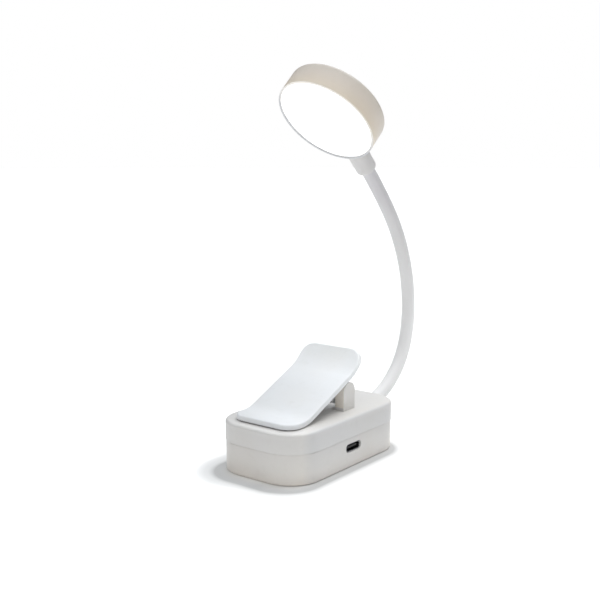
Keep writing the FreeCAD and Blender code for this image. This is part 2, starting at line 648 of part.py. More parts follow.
def lever():
    """Bent plate: a flat lip, a straight slope and an upturned thumb end, with two lugs for the pin."""
    body = new_body("clip_lever")
    top = "lever_level"
    bend_y = "lever_front + lever_flat"
    slope_y = f"{bend_y} + lever_bend * sin(lever_slope)"
    slope_z = f"{top} + lever_bend * (1 - cos(lever_slope))"
    curl_y = f"{slope_y} + lever_run * cos(lever_slope)"
    curl_z = f"{slope_z} + lever_run * sin(lever_slope)"
    end_y = f"{curl_y} + lever_curl * (sin(lever_end) - sin(lever_slope))"
    end_z = f"{curl_z} + lever_curl * (cos(lever_slope) - cos(lever_end))"
    slope_under = ("lever_thick * sin(lever_slope)", "lever_thick * cos(lever_slope)")
    end_under = ("lever_thick * sin(lever_end)", "lever_thick * cos(lever_end)")
    side = new_sketch(body, "YZ_Plane", "-lever_half")
    outline(side, (
        ("lever_front", top),
        ("lever_front", f"{top} - lever_thick"),
        (bend_y, f"{top} - lever_thick"),
        (f"{slope_y} + {slope_under[0]}", f"{slope_z} - {slope_under[1]}", "lever_bend + lever_thick", 1),
        (f"{curl_y} + {slope_under[0]}", f"{curl_z} - {slope_under[1]}"),
        (f"{end_y} + {end_under[0]}", f"{end_z} - {end_under[1]}", "lever_curl + lever_thick", 1),
        (end_y, end_z),
        (curl_y, curl_z, "lever_curl", -1),
        (slope_y, slope_z),
        (bend_y, top, "lever_bend", -1),
    ))
    pad(body, side, "2 * lever_half")
    round_edges(body, "lever_front_corner", lambda edge: runs_along(edge, Z))
    end_angle = math.radians(number("lever_end"))
    across = FreeCAD.Vector(0, -math.sin(end_angle), math.cos(end_angle))
    round_edges(body, "lever_rear_corner", lambda edge: runs_along(edge, across))
    for offset in ("lug_inside", "-lug_outside"):
        web = outline(new_sketch(body, "YZ_Plane", offset), (
            ("pivot_y - lug_radius", "pivot_z"),
            ("pivot_y + lug_radius", "pivot_z"),
            ("pivot_y + lug_top_rear", "pivot_z + lug_top_rear_rise"),
            ("pivot_y - lug_top_front", "pivot_z + lug_top_front_rise"),
        ))
        pad(body, web, "lug_outside - lug_inside")
        eye = circles(new_sketch(body, "YZ_Plane", offset), "lug_radius", [("pivot_y", "pivot_z")])
        pad(body, eye, "lug_outside - lug_inside")
    bore = new_sketch(body, "YZ_Plane", "lug_outside + 1")
    circles(bore, "pin_radius + pin_gap", [("pivot_y", "pivot_z")])
    pocket(body, bore, "2 * lug_outside + 2")
    round_edges(body, "lever_edge", on_plate_top)


def on_plate_top(edge):
    """True for the edges around the lever's upper face: at the sides, the corners and the two ends."""
    width = edge.BoundBox.XMax - edge.BoundBox.XMin
    if width > 1e-3 and edge.Curve.TypeId == "Part::GeomLine":
        on_end = edge.BoundBox.YMax < number("lever_front") + 1e-3 or edge.BoundBox.YMin > number("pivot_y")
        return on_end and distance_to_top(edge) < 1e-3
    straight_half = number("lever_half - lever_rear_corner")
    if max(abs(edge.BoundBox.XMax), abs(edge.BoundBox.XMin)) < straight_half - 1e-3:
        return False
    return distance_to_top(edge) < 1e-3


def distance_to_top(edge):
    """Largest distance of an edge's points from the lever's upper face, seen from the side."""
    first, last = edge.ParameterRange
    points = [edge.valueAt(first + (last - first) * step / 4) for step in range(5)]
    return max(abs(point.z - top_height(point.y)) for point in points)


def top_height(y):
    """Height of the lever's upper face at a place along Y."""
    bend_y = number("lever_front + lever_flat")
    slope_y = bend_y + number("lever_bend * sin(lever_slope)")
    curl_y = slope_y + number("lever_run * cos(lever_slope)")
    slope_z = number("lever_level + lever_bend * (1 - cos(lever_slope))")
    if y <= bend_y:
        return number("lever_level")
    if y <= slope_y:
        radius = number("lever_bend")
        return number("lever_level") + radius - math.sqrt(radius**2 - (y - bend_y) ** 2)
    if y <= curl_y:
        return slope_z + (y - slope_y) * number("tan(lever_slope)")
    radius = number("lever_curl")
    centre_y = curl_y - number("lever_curl * sin(lever_slope)")
    centre_z = slope_z + number("lever_run * sin(lever_slope) + lever_curl * cos(lever_slope)")
    return centre_z - math.sqrt(max(radius**2 - (y - centre_y) ** 2, 0))


def clip_small_parts():
    pin = cylinder("pin_radius", "2 * ear_outside - pin_wall - 0.2",
                   at("-ear_outside", "pivot_y", "pivot_z", pointing(X)))
    subpart(pin, "hinge_pin")
    middle = "(lever_front + pad_inset + pad_rear) / 2"
    base_pad = box(("2 * pad_half", "pad_rear - lever_front - pad_inset", "pad_sink - 0.05"),
                   at("0", middle, "base_top - pad_sink"))
    subpart(base_pad, "base_grip_pad")
    length = "lever_flat - pad_inset - pad_end_gap"
    under_lip = "lever_level - lever_thick - jaw_pad_thick"
    jaw_pad = box(("2 * pad_half", length, "jaw_pad_thick"),
                  at("0", f"lever_front + pad_inset + ({length}) / 2", under_lip))
    subpart(jaw_pad, "jaw_grip_pad")


def clip_spring():
    """Torsion spring: coils on the pin, one leg on the base and one under the lever's plate."""
    turns = int(number("spring_turns"))
    rings = []
    for turn in range(turns):
        ring = document.addObject("Part::Torus", "turn")
        x = f"({turn} - (spring_turns - 1) / 2) * spring_pitch"
        ring.Placement = at(x, "pivot_y", "pivot_z", pointing(X))
        rings.append(bind(ring, Radius1="spring_radius", Radius2="spring_wire"))
    for index, side, name in ((0, -1, "base"), (turns - 1, 1, "lever")):
        x = f"{side} * (spring_turns - 1) / 2 * spring_pitch"
        direction = along(number(f"spring_{name}_rise"))
        length = f"spring_{name}_leg"
        start = FreeCAD.Vector(0, -direction.z, direction.y) * (number("spring_radius") * side)
        place = at(x, "pivot_y", "pivot_z", pointing(direction))
        place.Base = place.Base + start
        leg = combine("Part::Fuse", cylinder("spring_wire", length, place), sphere("spring_wire", place.Base))
        rings[index] = combine("Part::Fuse", rings[index], leg)
    group("clip_spring", rings)


# ---------------------------------------------------------------- neck


def neck_frames():
    """Point and direction angle at the ferrule's end, at every bend centre and at the head's boss."""
    angle = number("neck_tilt")
    reach = number("ferrule_reach")
    start = FreeCAD.Vector(0, number("base_length / 2"), number("neck_height"))
    point = start + along(angle) * reach
    frames = [(point, angle)]
    for section in range(NECK_SECTIONS):
        turn = number(f"turn_{section}")
        chord = 2 * arc_radius(section) * math.sin(math.radians(turn / 2))
        point = point + along(angle + turn / 2) * chord
        angle += turn
        frames.append((point, angle))
    return frames


def along(angle):
    """Direction in the YZ plane at an angle from +Y."""
    return FreeCAD.Vector(0, math.cos(math.radians(angle)), math.sin(math.radians(angle)))


def arc_length(section):
    """Formula for a section's length: the two end sections are shorter."""
    return "neck_end_length" if section in (0, NECK_SECTIONS - 1) else "neck_pitch"


def arc_radius(section):
    return number(f"{arc_length(section)} / (turn_{section} * pi / 180)")


def bent_rod(section, radius, side="0"):
    """Round rod along one section's arc, longer at its ball end and straight inside an end fitting."""
    point, angle = FRAMES[section]
    bend = arc_radius(section)
    normal = along(angle + 90)
    turned = FreeCAD.Rotation(-normal, along(angle), X, "ZXY")
    rod = document.addObject("Part::Torus", "arc")
    rod.Placement = FreeCAD.Placement(point + normal * bend + X * number(side), turned)
    bend_text = f"({arc_length(section)} / (turn_{section} * pi / 180))"
    last = section == NECK_SECTIONS - 1
    extra = "" if last else f" + (ball_radius + 0.3) / {bend_text} * 180 / pi"
    bind(rod, Radius1=bend_text, Radius2=radius, Angle3=f"turn_{section}{extra}")
    if section == 0:
        length = "ferrule_reach + neck_lead_in"
        start = point - along(angle) * number(length)
        place = FreeCAD.Placement(start + X * number(side), pointing(along(angle)))
        return combine("Part::Fuse", cylinder(radius, length, place), rod)
    if last:
        point, angle = FRAMES[section + 1]
        place = FreeCAD.Placement(point + X * number(side), pointing(along(angle)))
        return combine("Part::Fuse", rod, cylinder(radius, "neck_lead_out", place))
    return rod


def ball_cutter(section):
    """Everything just outside the ball at a section's far end."""
    point, angle = FRAMES[section + 1]
    start = point + along(angle) * 1.0
    block = cylinder("2 * ball_radius", "2 * ball_radius", FreeCAD.Placement(start, pointing(along(angle))))
    return combine("Part::Cut", block, sphere("ball_radius", point))


def neck():
    """Sections of sleeve, core and leads. A section's ball end turns inside the next one's hollow end."""
    for section in range(NECK_SECTIONS):
        tools = []
        if section > 0:
            tools.append(sphere("cup_radius", FRAMES[section][0]))
        if section < NECK_SECTIONS - 1:
            tools.append(ball_cutter(section))
        bore = bent_rod(section, "core_radius + core_gap")
        sleeve = combine("Part::Cut", bent_rod(section, "sleeve_radius"), bore)
        core = combine("Part::Cut", bent_rod(section, "core_radius"), bent_rod(section, "core_bore"))
        leads = [bent_rod(section, "wire_radius", f"{side} * wire_side") for side in (-1, 1)]
        for tool in tools:
            sleeve = combine("Part::Cut", sleeve, tool)
            core = combine("Part::Cut", core, tool)
            leads = [combine("Part::Cut", lead, tool) for lead in leads]
        subpart(sleeve, f"neck_sleeve_{section}")
        subpart(core, f"neck_core_{section}")
        group(f"neck_leads_{section}", leads)


def ferrule():
    """Turned collar that the two shells grip where the neck leaves the base."""
    point, angle = FRAMES[0]
    body = new_body("neck_ferrule", FreeCAD.Placement(point, pointing(along(angle))))
    wall_face = "-ferrule_reach"
    flange = f"{wall_face} - wall - shell_step - ferrule_play"
    profile = new_sketch(body, "XZ_Plane")
    outline(profile, (
        ("sleeve_radius + sleeve_fit", "0"),
        ("sleeve_radius + sleeve_fit", f"{wall_face} - ferrule_inside"),
        ("ferrule_flange", f"{wall_face} - ferrule_inside"),
        ("ferrule_flange", flange),
        ("ferrule_throat", flange),
        ("ferrule_throat", f"{wall_face} + ferrule_step"),
        ("ferrule_radius", f"{wall_face} + ferrule_step"),
        ("ferrule_radius", "-ferrule_round"),
        ("ferrule_radius - ferrule_round", "0", "ferrule_round", 1),
    ))
    revolve(body, profile)


def leads_inside():
    """Leads from the board to the neck and from the cell to the board."""
    point, angle = FRAMES[0]
    start = point - along(angle) * number("ferrule_reach + neck_lead_in")
    board = number(f"{BOARD_BOTTOM} + board_thick")
    radius = number("wire_radius")
    lamp = []
    supply = []
    for side in (-1, 1):
        x = side * number("wire_side")
        spread = side * 2.6
        lamp.append(lead((
            start + X * x - along(angle) * 0.02,
            start + X * x - along(angle) * 4.5,
            FreeCAD.Vector(spread, start.y - 10.0, board + 3.2),
            FreeCAD.Vector(spread, 10.6, board + 3.0),
            FreeCAD.Vector(spread, 10.6, board),
        ), radius))
        cell_end = number("cell_shift + cell_length / 2")
        level = number("base_top - roof_thick - tape_thick - cell_thick / 2")
        supply.append(lead((
            FreeCAD.Vector(side * 1.4 + 8.5, cell_end, level),
            FreeCAD.Vector(side * 1.4 + 8.5, cell_end + 4.0, level),
            FreeCAD.Vector(side * 1.4 + 8.5, cell_end + 4.0, board + 3.2),
            FreeCAD.Vector(side * 1.4 + 8.5, 10.4, board + 3.2),
            FreeCAD.Vector(side * 1.4 + 8.5, 10.4, board),
        ), radius))
    group("lamp_leads", lamp)
    group("battery_leads", supply)


def lead(corners, radius):
    """Round lead along straight runs joined by tangent arcs."""
    edges = []
    here = corners[0]
    for before, corner, after in zip(corners, corners[1:], corners[2:]):
        into, out = (corner - before), (after - corner)
        shortest = min(into.Length, out.Length)
        into.normalize()
        out.normalize()
        half_turn = into.getAngle(out) / 2
        reach = 0.42 * shortest
        bend = reach / math.tan(half_turn)
        first, last = corner - into * reach, corner + out * reach
        inward = (out - into).normalize()
        middle = corner + inward * (bend / math.cos(half_turn) - bend)
        edges.append(Part.makeLine(here, first))
        edges.append(Part.Arc(first, middle, last).toShape())
        here = last
    edges.append(Part.makeLine(here, corners[-1]))
    path = Part.Wire(edges)
    start = (corners[1] - corners[0]).normalize()
    ring = Part.Wire([Part.Circle(corners[0], start, radius).toShape()])
    item = document.addObject("Part::Feature", "lead")
    item.Shape = path.makePipeShell([ring], True, False)
    return item


# ---------------------------------------------------------------- head


LAMP_POSTS = [(f"lamp_post_ring * sin({angle})", f"lamp_post_ring * cos({angle})") for angle in (0, 120, 240)]


def head_placement():
    """The head's own frame: origin at its centre, +Y away from the neck and +Z out of the lit face."""
    point, angle = FRAMES[-1]
    up = along(angle)
    face = FreeCAD.Rotation(up, number("head_twist")).multVec(along(angle + 90))
    turned = FreeCAD.Rotation(up.cross(face), up, face, "ZXY")
    centre = point + up * number("boss_length + head_radius") + face * number("boss_back")
    return FreeCAD.Placement(centre, turned)


def head_housing():
    body = new_body("head_housing", HEAD)
    front = "head_depth / 2"
    pad(body, circles(new_sketch(body, "XY_Plane", f"-{front}"), "head_radius", [("0", "0")]), "head_depth")
    round_edges(body, "head_round", lambda edge: spans(edge, "z", f"-{front}", f"-{front}"))
    boss = new_sketch(body, "XZ_Plane", "head_radius - head_wall")
    circles(boss, "boss_outer", [("0", "-boss_back")])
    pad(body, boss, "head_wall + boss_length")
    end = "-head_radius - boss_length"
    round_edges(body, "boss_end_round", lambda edge: spans(edge, "y", end, end))
    hollow = circles(new_sketch(body, "XY_Plane", front), "head_radius - head_wall", [("0", "0")])
    pocket(body, hollow, "head_depth - head_back")
    seat = circles(new_sketch(body, "XY_Plane", front), "head_radius - rim_width", [("0", "0")])
    pocket(body, seat, "diffuser_thick + diffuser_sink")
    posts = circles(new_sketch(body, "XY_Plane", f"-{front} + head_back / 2"), "lamp_post_radius", LAMP_POSTS)
    pad(body, posts, "lamp_board_level - lamp_board_thick + head_depth / 2 - head_back / 2")
    post_tops = new_sketch(body, "XY_Plane", "lamp_board_level - lamp_board_thick")
    pocket(body, circles(post_tops, "small_screw", LAMP_POSTS), "small_reach + screw_room")
    mouth = new_sketch(body, "XZ_Plane", "head_radius + boss_length - neck_lead_out")
    circles(mouth, "sleeve_radius + sleeve_fit", [("0", "-boss_back")])
    pocket(body, mouth, "neck_lead_out + 1", True)
    passage = new_sketch(body, "XZ_Plane", "head_radius - head_wall - 1")
    circles(passage, "lead_passage", [("0", "-boss_back")])
    pocket(body, passage, "boss_length", True)


def head_contents():
    thick, level = "lamp_board_thick", "lamp_board_level"
    diffuser = new_body("head_diffuser", HEAD)
    front = "head_depth / 2 - diffuser_sink"
    disc = new_sketch(diffuser, "XY_Plane", f"{front} - diffuser_thick")
    pad(diffuser, circles(disc, "head_radius - rim_width - diffuser_gap", [("0", "0")]), "diffuser_thick")
    round_edges(diffuser, "diffuser_edge", lambda edge: spans(edge, "z", front, front))
    board = new_body("led_board", HEAD)
    plate = new_sketch(board, "XY_Plane", f"{level} - {thick}")
    pad(board, circles(plate, "lamp_board_radius", [("0", "0")]), thick)
    holes = circles(new_sketch(board, "XY_Plane", level), "small_clear", LAMP_POSTS)
    pocket(board, holes, thick)
    wires = circles(new_sketch(board, "XY_Plane", level), "lamp_wire_hole", [("0", "-lamp_wire_place")])
    pocket(board, wires, thick)
    count = int(number("led_count"))
    leds = []
    for index in range(count):
        spin = FreeCAD.Rotation(Z, 360 / count * index)
        place = HEAD.multiply(FreeCAD.Placement(FreeCAD.Vector(), spin)).multiply(at("led_ring", "0", level))
        leds.append(box(("led_width", "led_length", "led_height"), place))
    group("leds", leds)
    group("led_board_screws", [small_screw(HEAD.multiply(at(x, y, level)), thick) for x, y in LAMP_POSTS])
    floor = -number("head_radius + boss_length - neck_lead_out")
    hole = -number("lamp_wire_place")
    back = -number("boss_back")
    tails = []
    for side in (-1, 1):
        x = side * number("wire_side")
        corners = ((x, floor + 0.02, back), (x, floor + 4.5, back), (x, hole, back - 1.0), (x, hole, 1.2))
        route = [HEAD.multVec(FreeCAD.Vector(*corner)) for corner in corners]
        tails.append(lead(route, number("wire_radius")))
    group("head_leads", tails)


# ---------------------------------------------------------------- building and writing

FRAMES = neck_frames()
HEAD = head_placement()

lower_shell()
upper_shell()
fasteners()
underside_mat()
electronics()
power_button()
lever()
clip_small_parts()
clip_spring()
neck()
ferrule()
leads_inside()
head_housing()
head_contents()
document.recompute()

failed = [item.Name for item in document.Objects if {"Invalid", "Error"} & set(item.State)]
if failed:
    raise RuntimeError(f"failed objects: {failed}")
for item in subparts:
    if item.Shape.isNull() or not item.Shape.isValid() or not item.Shape.Solids:
        raise RuntimeError(f"bad shape: {item.Label}")

os.makedirs("parts", exist_ok=True)
for item in subparts:
    item.Shape.exportStep(f"parts/{item.Label}.step")
    print(f"{item.Label:22s} {len(item.Shape.Solids):3d} solids {item.Shape.Volume:10.1f} mm3")
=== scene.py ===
"""Looks of the clip-on reading lamp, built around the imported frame. Lengths are metres in the row frame."""

import json
import math

import bmesh
import bpy
from mathutils import Matrix, Quaternion, Vector

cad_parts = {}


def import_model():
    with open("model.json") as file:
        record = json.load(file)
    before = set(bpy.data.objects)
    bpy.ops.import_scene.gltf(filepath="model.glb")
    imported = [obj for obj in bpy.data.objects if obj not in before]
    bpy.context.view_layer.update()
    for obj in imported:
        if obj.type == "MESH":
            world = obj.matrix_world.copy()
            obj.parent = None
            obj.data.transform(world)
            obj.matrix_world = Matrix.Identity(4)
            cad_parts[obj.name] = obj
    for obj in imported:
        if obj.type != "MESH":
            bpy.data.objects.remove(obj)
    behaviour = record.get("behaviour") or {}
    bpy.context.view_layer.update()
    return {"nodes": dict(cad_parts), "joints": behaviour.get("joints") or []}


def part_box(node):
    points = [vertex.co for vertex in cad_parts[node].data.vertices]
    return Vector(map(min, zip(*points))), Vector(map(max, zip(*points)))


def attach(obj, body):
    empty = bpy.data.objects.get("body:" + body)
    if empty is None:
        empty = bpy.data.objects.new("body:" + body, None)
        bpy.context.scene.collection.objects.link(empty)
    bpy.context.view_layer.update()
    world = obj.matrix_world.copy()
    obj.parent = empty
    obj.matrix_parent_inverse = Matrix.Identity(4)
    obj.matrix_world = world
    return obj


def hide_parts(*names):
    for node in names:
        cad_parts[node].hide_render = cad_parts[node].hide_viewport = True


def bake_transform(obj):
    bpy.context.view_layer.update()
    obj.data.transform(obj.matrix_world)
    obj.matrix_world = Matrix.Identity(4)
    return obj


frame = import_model()

MM = 0.001
NODES = frame["nodes"]

# Neck at rest, seen from the side: it leaves the base's rear wall and bends in nine arcs up to the head.
NECK_ROOT = Vector((0, 35.0, 12.1)) * MM
NECK_TILT = math.radians(6.4)
FERRULE_REACH = 6.0 * MM
NECK_TURNS = [math.radians(turn) for turn in (13.9, 24.1, 28.3, 20.5, 14.1, 12.6, 10.6, 3.6, 2.4)]
NECK_END_LENGTH = 7.0 * MM
NECK_PITCH = 15.67 * MM
SLEEVE_RADIUS, SLEEVE_BORE = 2.8 * MM, 1.8 * MM
CORE_RADIUS, CORE_BORE = 1.72 * MM, 1.1 * MM
LEAD_RADIUS, LEAD_SIDE = 0.42 * MM, 0.5 * MM

# Head: its centre is past the neck socket, and it is turned a little about the neck's end.
HEAD_TWIST = math.radians(-4.9)
HEAD_RADIUS, HEAD_DEPTH, RIM_WIDTH = 20.25 * MM, 10.4 * MM, 0.82 * MM
SOCKET_LENGTH, SOCKET_BACK = 12.8 * MM, 0.9 * MM

# Clip hinge.
PIVOT = Vector((0, 7.2, 26.4)) * MM

ORIGIN, UP = Vector((0, 0, 0)), Vector((0, 0, 1))
RIGHT, FRONT = Vector((1, 0, 0)), Vector((0, -1, 0))
# Heights for the painted light and shade: the shells' foot and top, the front faces of the hinge's ears, the
# lever and the neck.
BASE_HEIGHT, HINGE_FACES = 20.0 * MM, 20.5 * MM
LEVER_LOW, LEVER_HIGH = 20.0 * MM, 40.0 * MM
NECK_LOW, NECK_HIGH = 10.0 * MM, 100.0 * MM


# ------------------------------------------------------------------ materials


class Nodes:
    """Short calls for building a material's nodes."""

    def __init__(self, name):
        self.material = bpy.data.materials.new(name)
        self.material.use_nodes = True
        self.tree = self.material.node_tree
        self.shader = self.tree.nodes["Principled BSDF"]
        self.place = self.add("ShaderNodeTexCoord").outputs["Object"]

    def add(self, kind, **settings):
        node = self.tree.nodes.new(kind)
        for key, value in settings.items():
            setattr(node, key, value)
        return node

    def link(self, source, target):
        self.tree.links.new(source, target)

    def set(self, **values):
        for key, value in values.items():
            self.shader.inputs[key.replace("_", " ")].default_value = value

    def noise(self, scale, detail=2.0, roughness=0.5, place=None):
        """Noise of about `scale` features per metre."""
        node = self.add("ShaderNodeTexNoise")
        node.inputs["Scale"].default_value = scale
        node.inputs["Detail"].default_value = detail
        node.inputs["Roughness"].default_value = roughness
        self.link(place or self.place, node.inputs["Vector"])
        return node.outputs["Fac"]

    def ramp(self, source, stops):
        """Colour ramp through (position, colour) stops."""
        node = self.add("ShaderNodeValToRGB")
        while len(node.color_ramp.elements) < len(stops):
            node.color_ramp.elements.new(0.5)
        for element, (position, colour) in zip(node.color_ramp.elements, stops):
            element.position = position
            element.color = (*colour, 1.0)
        self.link(source, node.inputs["Fac"])
        return node.outputs["Color"]

    def span(self, source, low, high, start=0.3, end=0.7):
        """Value from low to high as the source goes from start to end."""
        node = self.add("ShaderNodeMapRange")
        node.inputs["From Min"].default_value = start
        node.inputs["From Max"].default_value = end
        node.inputs["To Min"].default_value = low
        node.inputs["To Max"].default_value = high
        self.link(source, node.inputs["Value"])
        return node.outputs["Result"]

    def mix(self, factor, first, second, blend="MIX"):
        """Mix of two colours or sockets; the factor is a number or a socket."""
        node = self.add("ShaderNodeMix", data_type="RGBA", blend_type=blend)
        targets = (node.inputs["Factor"], node.inputs[6], node.inputs[7])
        for value, target in zip((factor, first, second), targets):
            if isinstance(value, bpy.types.NodeSocket):
                self.link(value, target)
            else:
                target.default_value = (*value, 1.0) if isinstance(value, (tuple, list)) else value
        return node.outputs[2]

    def tint(self, first, second):
        """Product of two colours or sockets."""
        return self.mix(1.0, first, second, "MULTIPLY")

    def along(self, direction, origin, low, high):
        """Value from 0 to 1 along a direction in the row frame, between two distances from an origin."""
        node = self.add("ShaderNodeVectorMath", operation="DOT_PRODUCT")
        self.link(self.place, node.inputs[0])
        node.inputs[1].default_value = direction
        level = direction.dot(origin)
        return self.span(node.outputs["Value"], 0.0, 1.0, level + low, level + high)

    def facing(self, direction, height):
        """1 on faces above a height that face a direction, else 0."""
        normal = self.add("ShaderNodeVectorMath", operation="DOT_PRODUCT")
        self.link(self.add("ShaderNodeNewGeometry").outputs["Normal"], normal.inputs[0])
        normal.inputs[1].default_value = direction
        above = self.along(UP, ORIGIN, height - 0.2 * MM, height + 0.2 * MM)
        both = self.add("ShaderNodeMath", operation="MULTIPLY")
        self.link(self.span(normal.outputs["Value"], 0.0, 1.0, 0.6, 0.9), both.inputs[0])
        self.link(above, both.inputs[1])
        return both.outputs["Value"]

    def bump(self, layers):
        """Bump from (height socket, depth in metres) layers."""
        normal = None
        for height, depth in layers:
            node = self.add("ShaderNodeBump")
            node.inputs["Strength"].default_value = 1.0
            node.inputs["Distance"].default_value = depth
            self.link(height, node.inputs["Height"])
            if normal:
                self.link(normal, node.inputs["Normal"])
            normal = node.outputs["Normal"]
        self.link(normal, self.shader.inputs["Normal"])


def shade(colour, factor):
    return tuple(channel * factor for channel in colour)


def grey(level):
    return (level, level, level)


def plastic(name, colour, roughness=0.42):
    """Injection-moulded plastic: a fine sparked grain, faint flow marks and uneven gloss."""
    n = Nodes(name)
    tint = 0.02
    clouds = n.noise(38, 3)
    fine = n.noise(420, 4)
    warm = (colour[0], colour[1] * (1 - tint * 0.5), colour[2] * (1 - tint * 1.4))
    pale = shade(colour, 1 + tint * 0.4)
    base = n.ramp(clouds, [(0.30, shade(warm, 1 - tint)), (0.55, colour), (0.75, pale)])
    specks = n.ramp(fine, [(0.25, (0.975, 0.972, 0.968)), (0.45, grey(1))])
    n.link(n.tint(base, specks), n.shader.inputs["Base Color"])
    n.link(n.span(n.noise(900, 3), roughness - 0.05, roughness + 0.07), n.shader.inputs["Roughness"])
    n.bump([(n.noise(5200, 3, 0.6), 0.006 * MM), (n.noise(55, 1), 0.05 * MM)])
    n.set(IOR=1.49)
    return n


def lever_plastic():
    """Cool white plastic, with painted light that makes it paler towards the thumb end."""
    n = plastic("lever_plastic", (0.770, 0.780, 0.788), roughness=0.40)
    base = n.shader.inputs["Base Color"].links[0].from_socket
    # Painted light: the lever's colour is raised with height, most at the thumb end.
    thumb_end_painted_light = n.ramp(n.along(UP, ORIGIN, LEVER_LOW, LEVER_HIGH), [
        (0.0, grey(1.07)), (0.2, grey(1.04)), (0.42, grey(1.03)), (0.65, grey(1.10)),
        (1.0, (1.27, 1.27, 1.26)),
    ])
    n.link(n.tint(base, thumb_end_painted_light), n.shader.inputs["Base Color"])
    return n.material


def shell_plastic(name, colour):
    """Base shell, with painted light and shade: paler and warmer towards its foot for light that comes back
    from the table, a little darker just below its top edge, paler on the front faces of the hinge's ears,
    darker towards its left side, and cooler and darker at its right edge.
    """
    n = plastic(name, colour)
    base = n.shader.inputs["Base Color"].links[0].from_socket
    # Painted light: faces above the shell's top that face the front, the front faces of the hinge's ears, are
    # made paler.
    base = n.mix(n.facing(FRONT, HINGE_FACES), base, n.tint(base, (1.30, 1.25, 1.17)))
    # Painted light and shade by height: up to 1.26 times paler and warmer at the foot, 0.93 just below the
    # top edge.
    foot_painted_light = n.ramp(n.along(UP, ORIGIN, 0.0, BASE_HEIGHT), [
        (0.0, shade((1, 0.975, 0.94), 1.26)), (0.12, shade((1, 0.985, 0.965), 1.18)),
        (0.3, shade((1, 1, 0.99), 1.08)), (0.5, grey(1)), (0.85, grey(0.93)), (0.93, grey(0.96)),
        (0.97, grey(1)),
    ])
    # Painted shade and light across the shell: darker towards its left side, paler towards its right side,
    # cooler and darker at its right edge.
    side = n.ramp(n.along(RIGHT, ORIGIN, -20 * MM, 20 * MM), [
        (0.0, grey(0.965)), (0.6, grey(1)), (0.95, shade((1, 1, 0.99), 1.045)), (0.995, (0.93, 0.945, 0.965)),
    ])
    n.link(n.tint(n.tint(base, foot_painted_light), side), n.shader.inputs["Base Color"])
    return n.material


def head_plastic():
    """Painted light on the drum: warmer and paler towards the lit face, cooler and darker towards its back,
    and on the front lip a painted highlight on its upper side and a cool painted shade on its lower side. The
    neck socket is a neutral grey.
    """
    n = plastic("head_plastic", (0.700, 0.626, 0.546), roughness=0.45)
    base = n.shader.inputs["Base Color"].links[0].from_socket
    front = n.along(HEAD_FACE, HEAD_CENTRE, -0.5 * HEAD_DEPTH, 0.5 * HEAD_DEPTH)
    # Painted light: warmer and paler towards the lit face, cooler and darker towards the back.
    lit_face_painted_light = n.ramp(front, [
        (0.0, (0.86, 0.90, 0.94)), (0.15, (0.93, 0.95, 0.965)), (0.5, grey(1)),
        (0.9, (1.05, 1.035, 0.98)), (1.0, (1.06, 1.05, 1.0)),
    ])
    # Painted highlight on the upper side of the front lip and cool painted shade on its lower side.
    lip_painted_light = n.ramp(n.along(HEAD_SIDE, HEAD_CENTRE, -0.2 * HEAD_RADIUS, 0.5 * HEAD_RADIUS), [
        (0.0, (0.79, 0.885, 1.04)), (1.0, (1.28, 1.36, 1.44)),
    ])
    edge = n.along(HEAD_FACE, HEAD_CENTRE, 0.5 * HEAD_DEPTH - 0.3 * MM, 0.5 * HEAD_DEPTH - 0.15 * MM)
    drum = n.tint(base, n.mix(edge, lit_face_painted_light, lip_painted_light))
    beyond = n.along(-HEAD_UP, HEAD_CENTRE, HEAD_RADIUS, HEAD_RADIUS + 0.5 * MM)
    socket = n.tint(base, (0.875, 0.955, 1.085))
    n.link(n.mix(beyond, drum, socket), n.shader.inputs["Base Color"])
    return n.material


def silicone(name, colour):
    """Soft matt silicone of the neck's sleeve, with faint mould flow along it and dust in the surface, and
    painted shade by height: darker towards the head and a little darker near the root.
    """
    n = Nodes(name)
    stretch = n.add("ShaderNodeMapping")
    stretch.inputs["Scale"].default_value = (1.0, 1.0, 0.35)
    n.link(n.place, stretch.inputs["Vector"])
    clouds = n.noise(60, 3, place=stretch.outputs["Vector"])
    base = n.ramp(clouds, [(0.3, shade(colour, 0.975)), (0.7, shade(colour, 1.01))])
    # Painted shade by height: darker towards the head, a little darker near the root.
    neck_painted_shade = n.ramp(n.along(UP, ORIGIN, NECK_LOW, NECK_HIGH), [
        (0.0, grey(0.87)), (0.12, grey(0.95)), (0.33, grey(1)), (0.56, grey(0.88)), (0.78, grey(0.745)),
        (1.0, (0.655, 0.645, 0.665)),
    ])
    n.link(n.tint(base, neck_painted_shade), n.shader.inputs["Base Color"])
    n.link(n.span(n.noise(1500, 3), 0.50, 0.62), n.shader.inputs["Roughness"])
    n.bump([(n.noise(4200, 3), 0.004 * MM), (n.noise(160, 1), 0.02 * MM)])
    n.set(IOR=1.43, Sheen_Weight=0.08, Sheen_Roughness=0.5)
    return n.material


def rubber(name, colour):
    """Matt dusty rubber or foam."""
    roughness = 0.75
    n = Nodes(name)
    base = n.ramp(n.noise(700, 4), [(0.3, shade(colour, 0.88)), (0.7, shade(colour, 1.08))])
    n.link(base, n.shader.inputs["Base Color"])
    n.link(n.span(n.noise(1800, 2), roughness - 0.08, roughness + 0.06), n.shader.inputs["Roughness"])
    n.bump([(n.noise(2600, 4), 0.02 * MM)])
    n.set(IOR=1.5, Specular_IOR_Level=0.35)
    return n.material


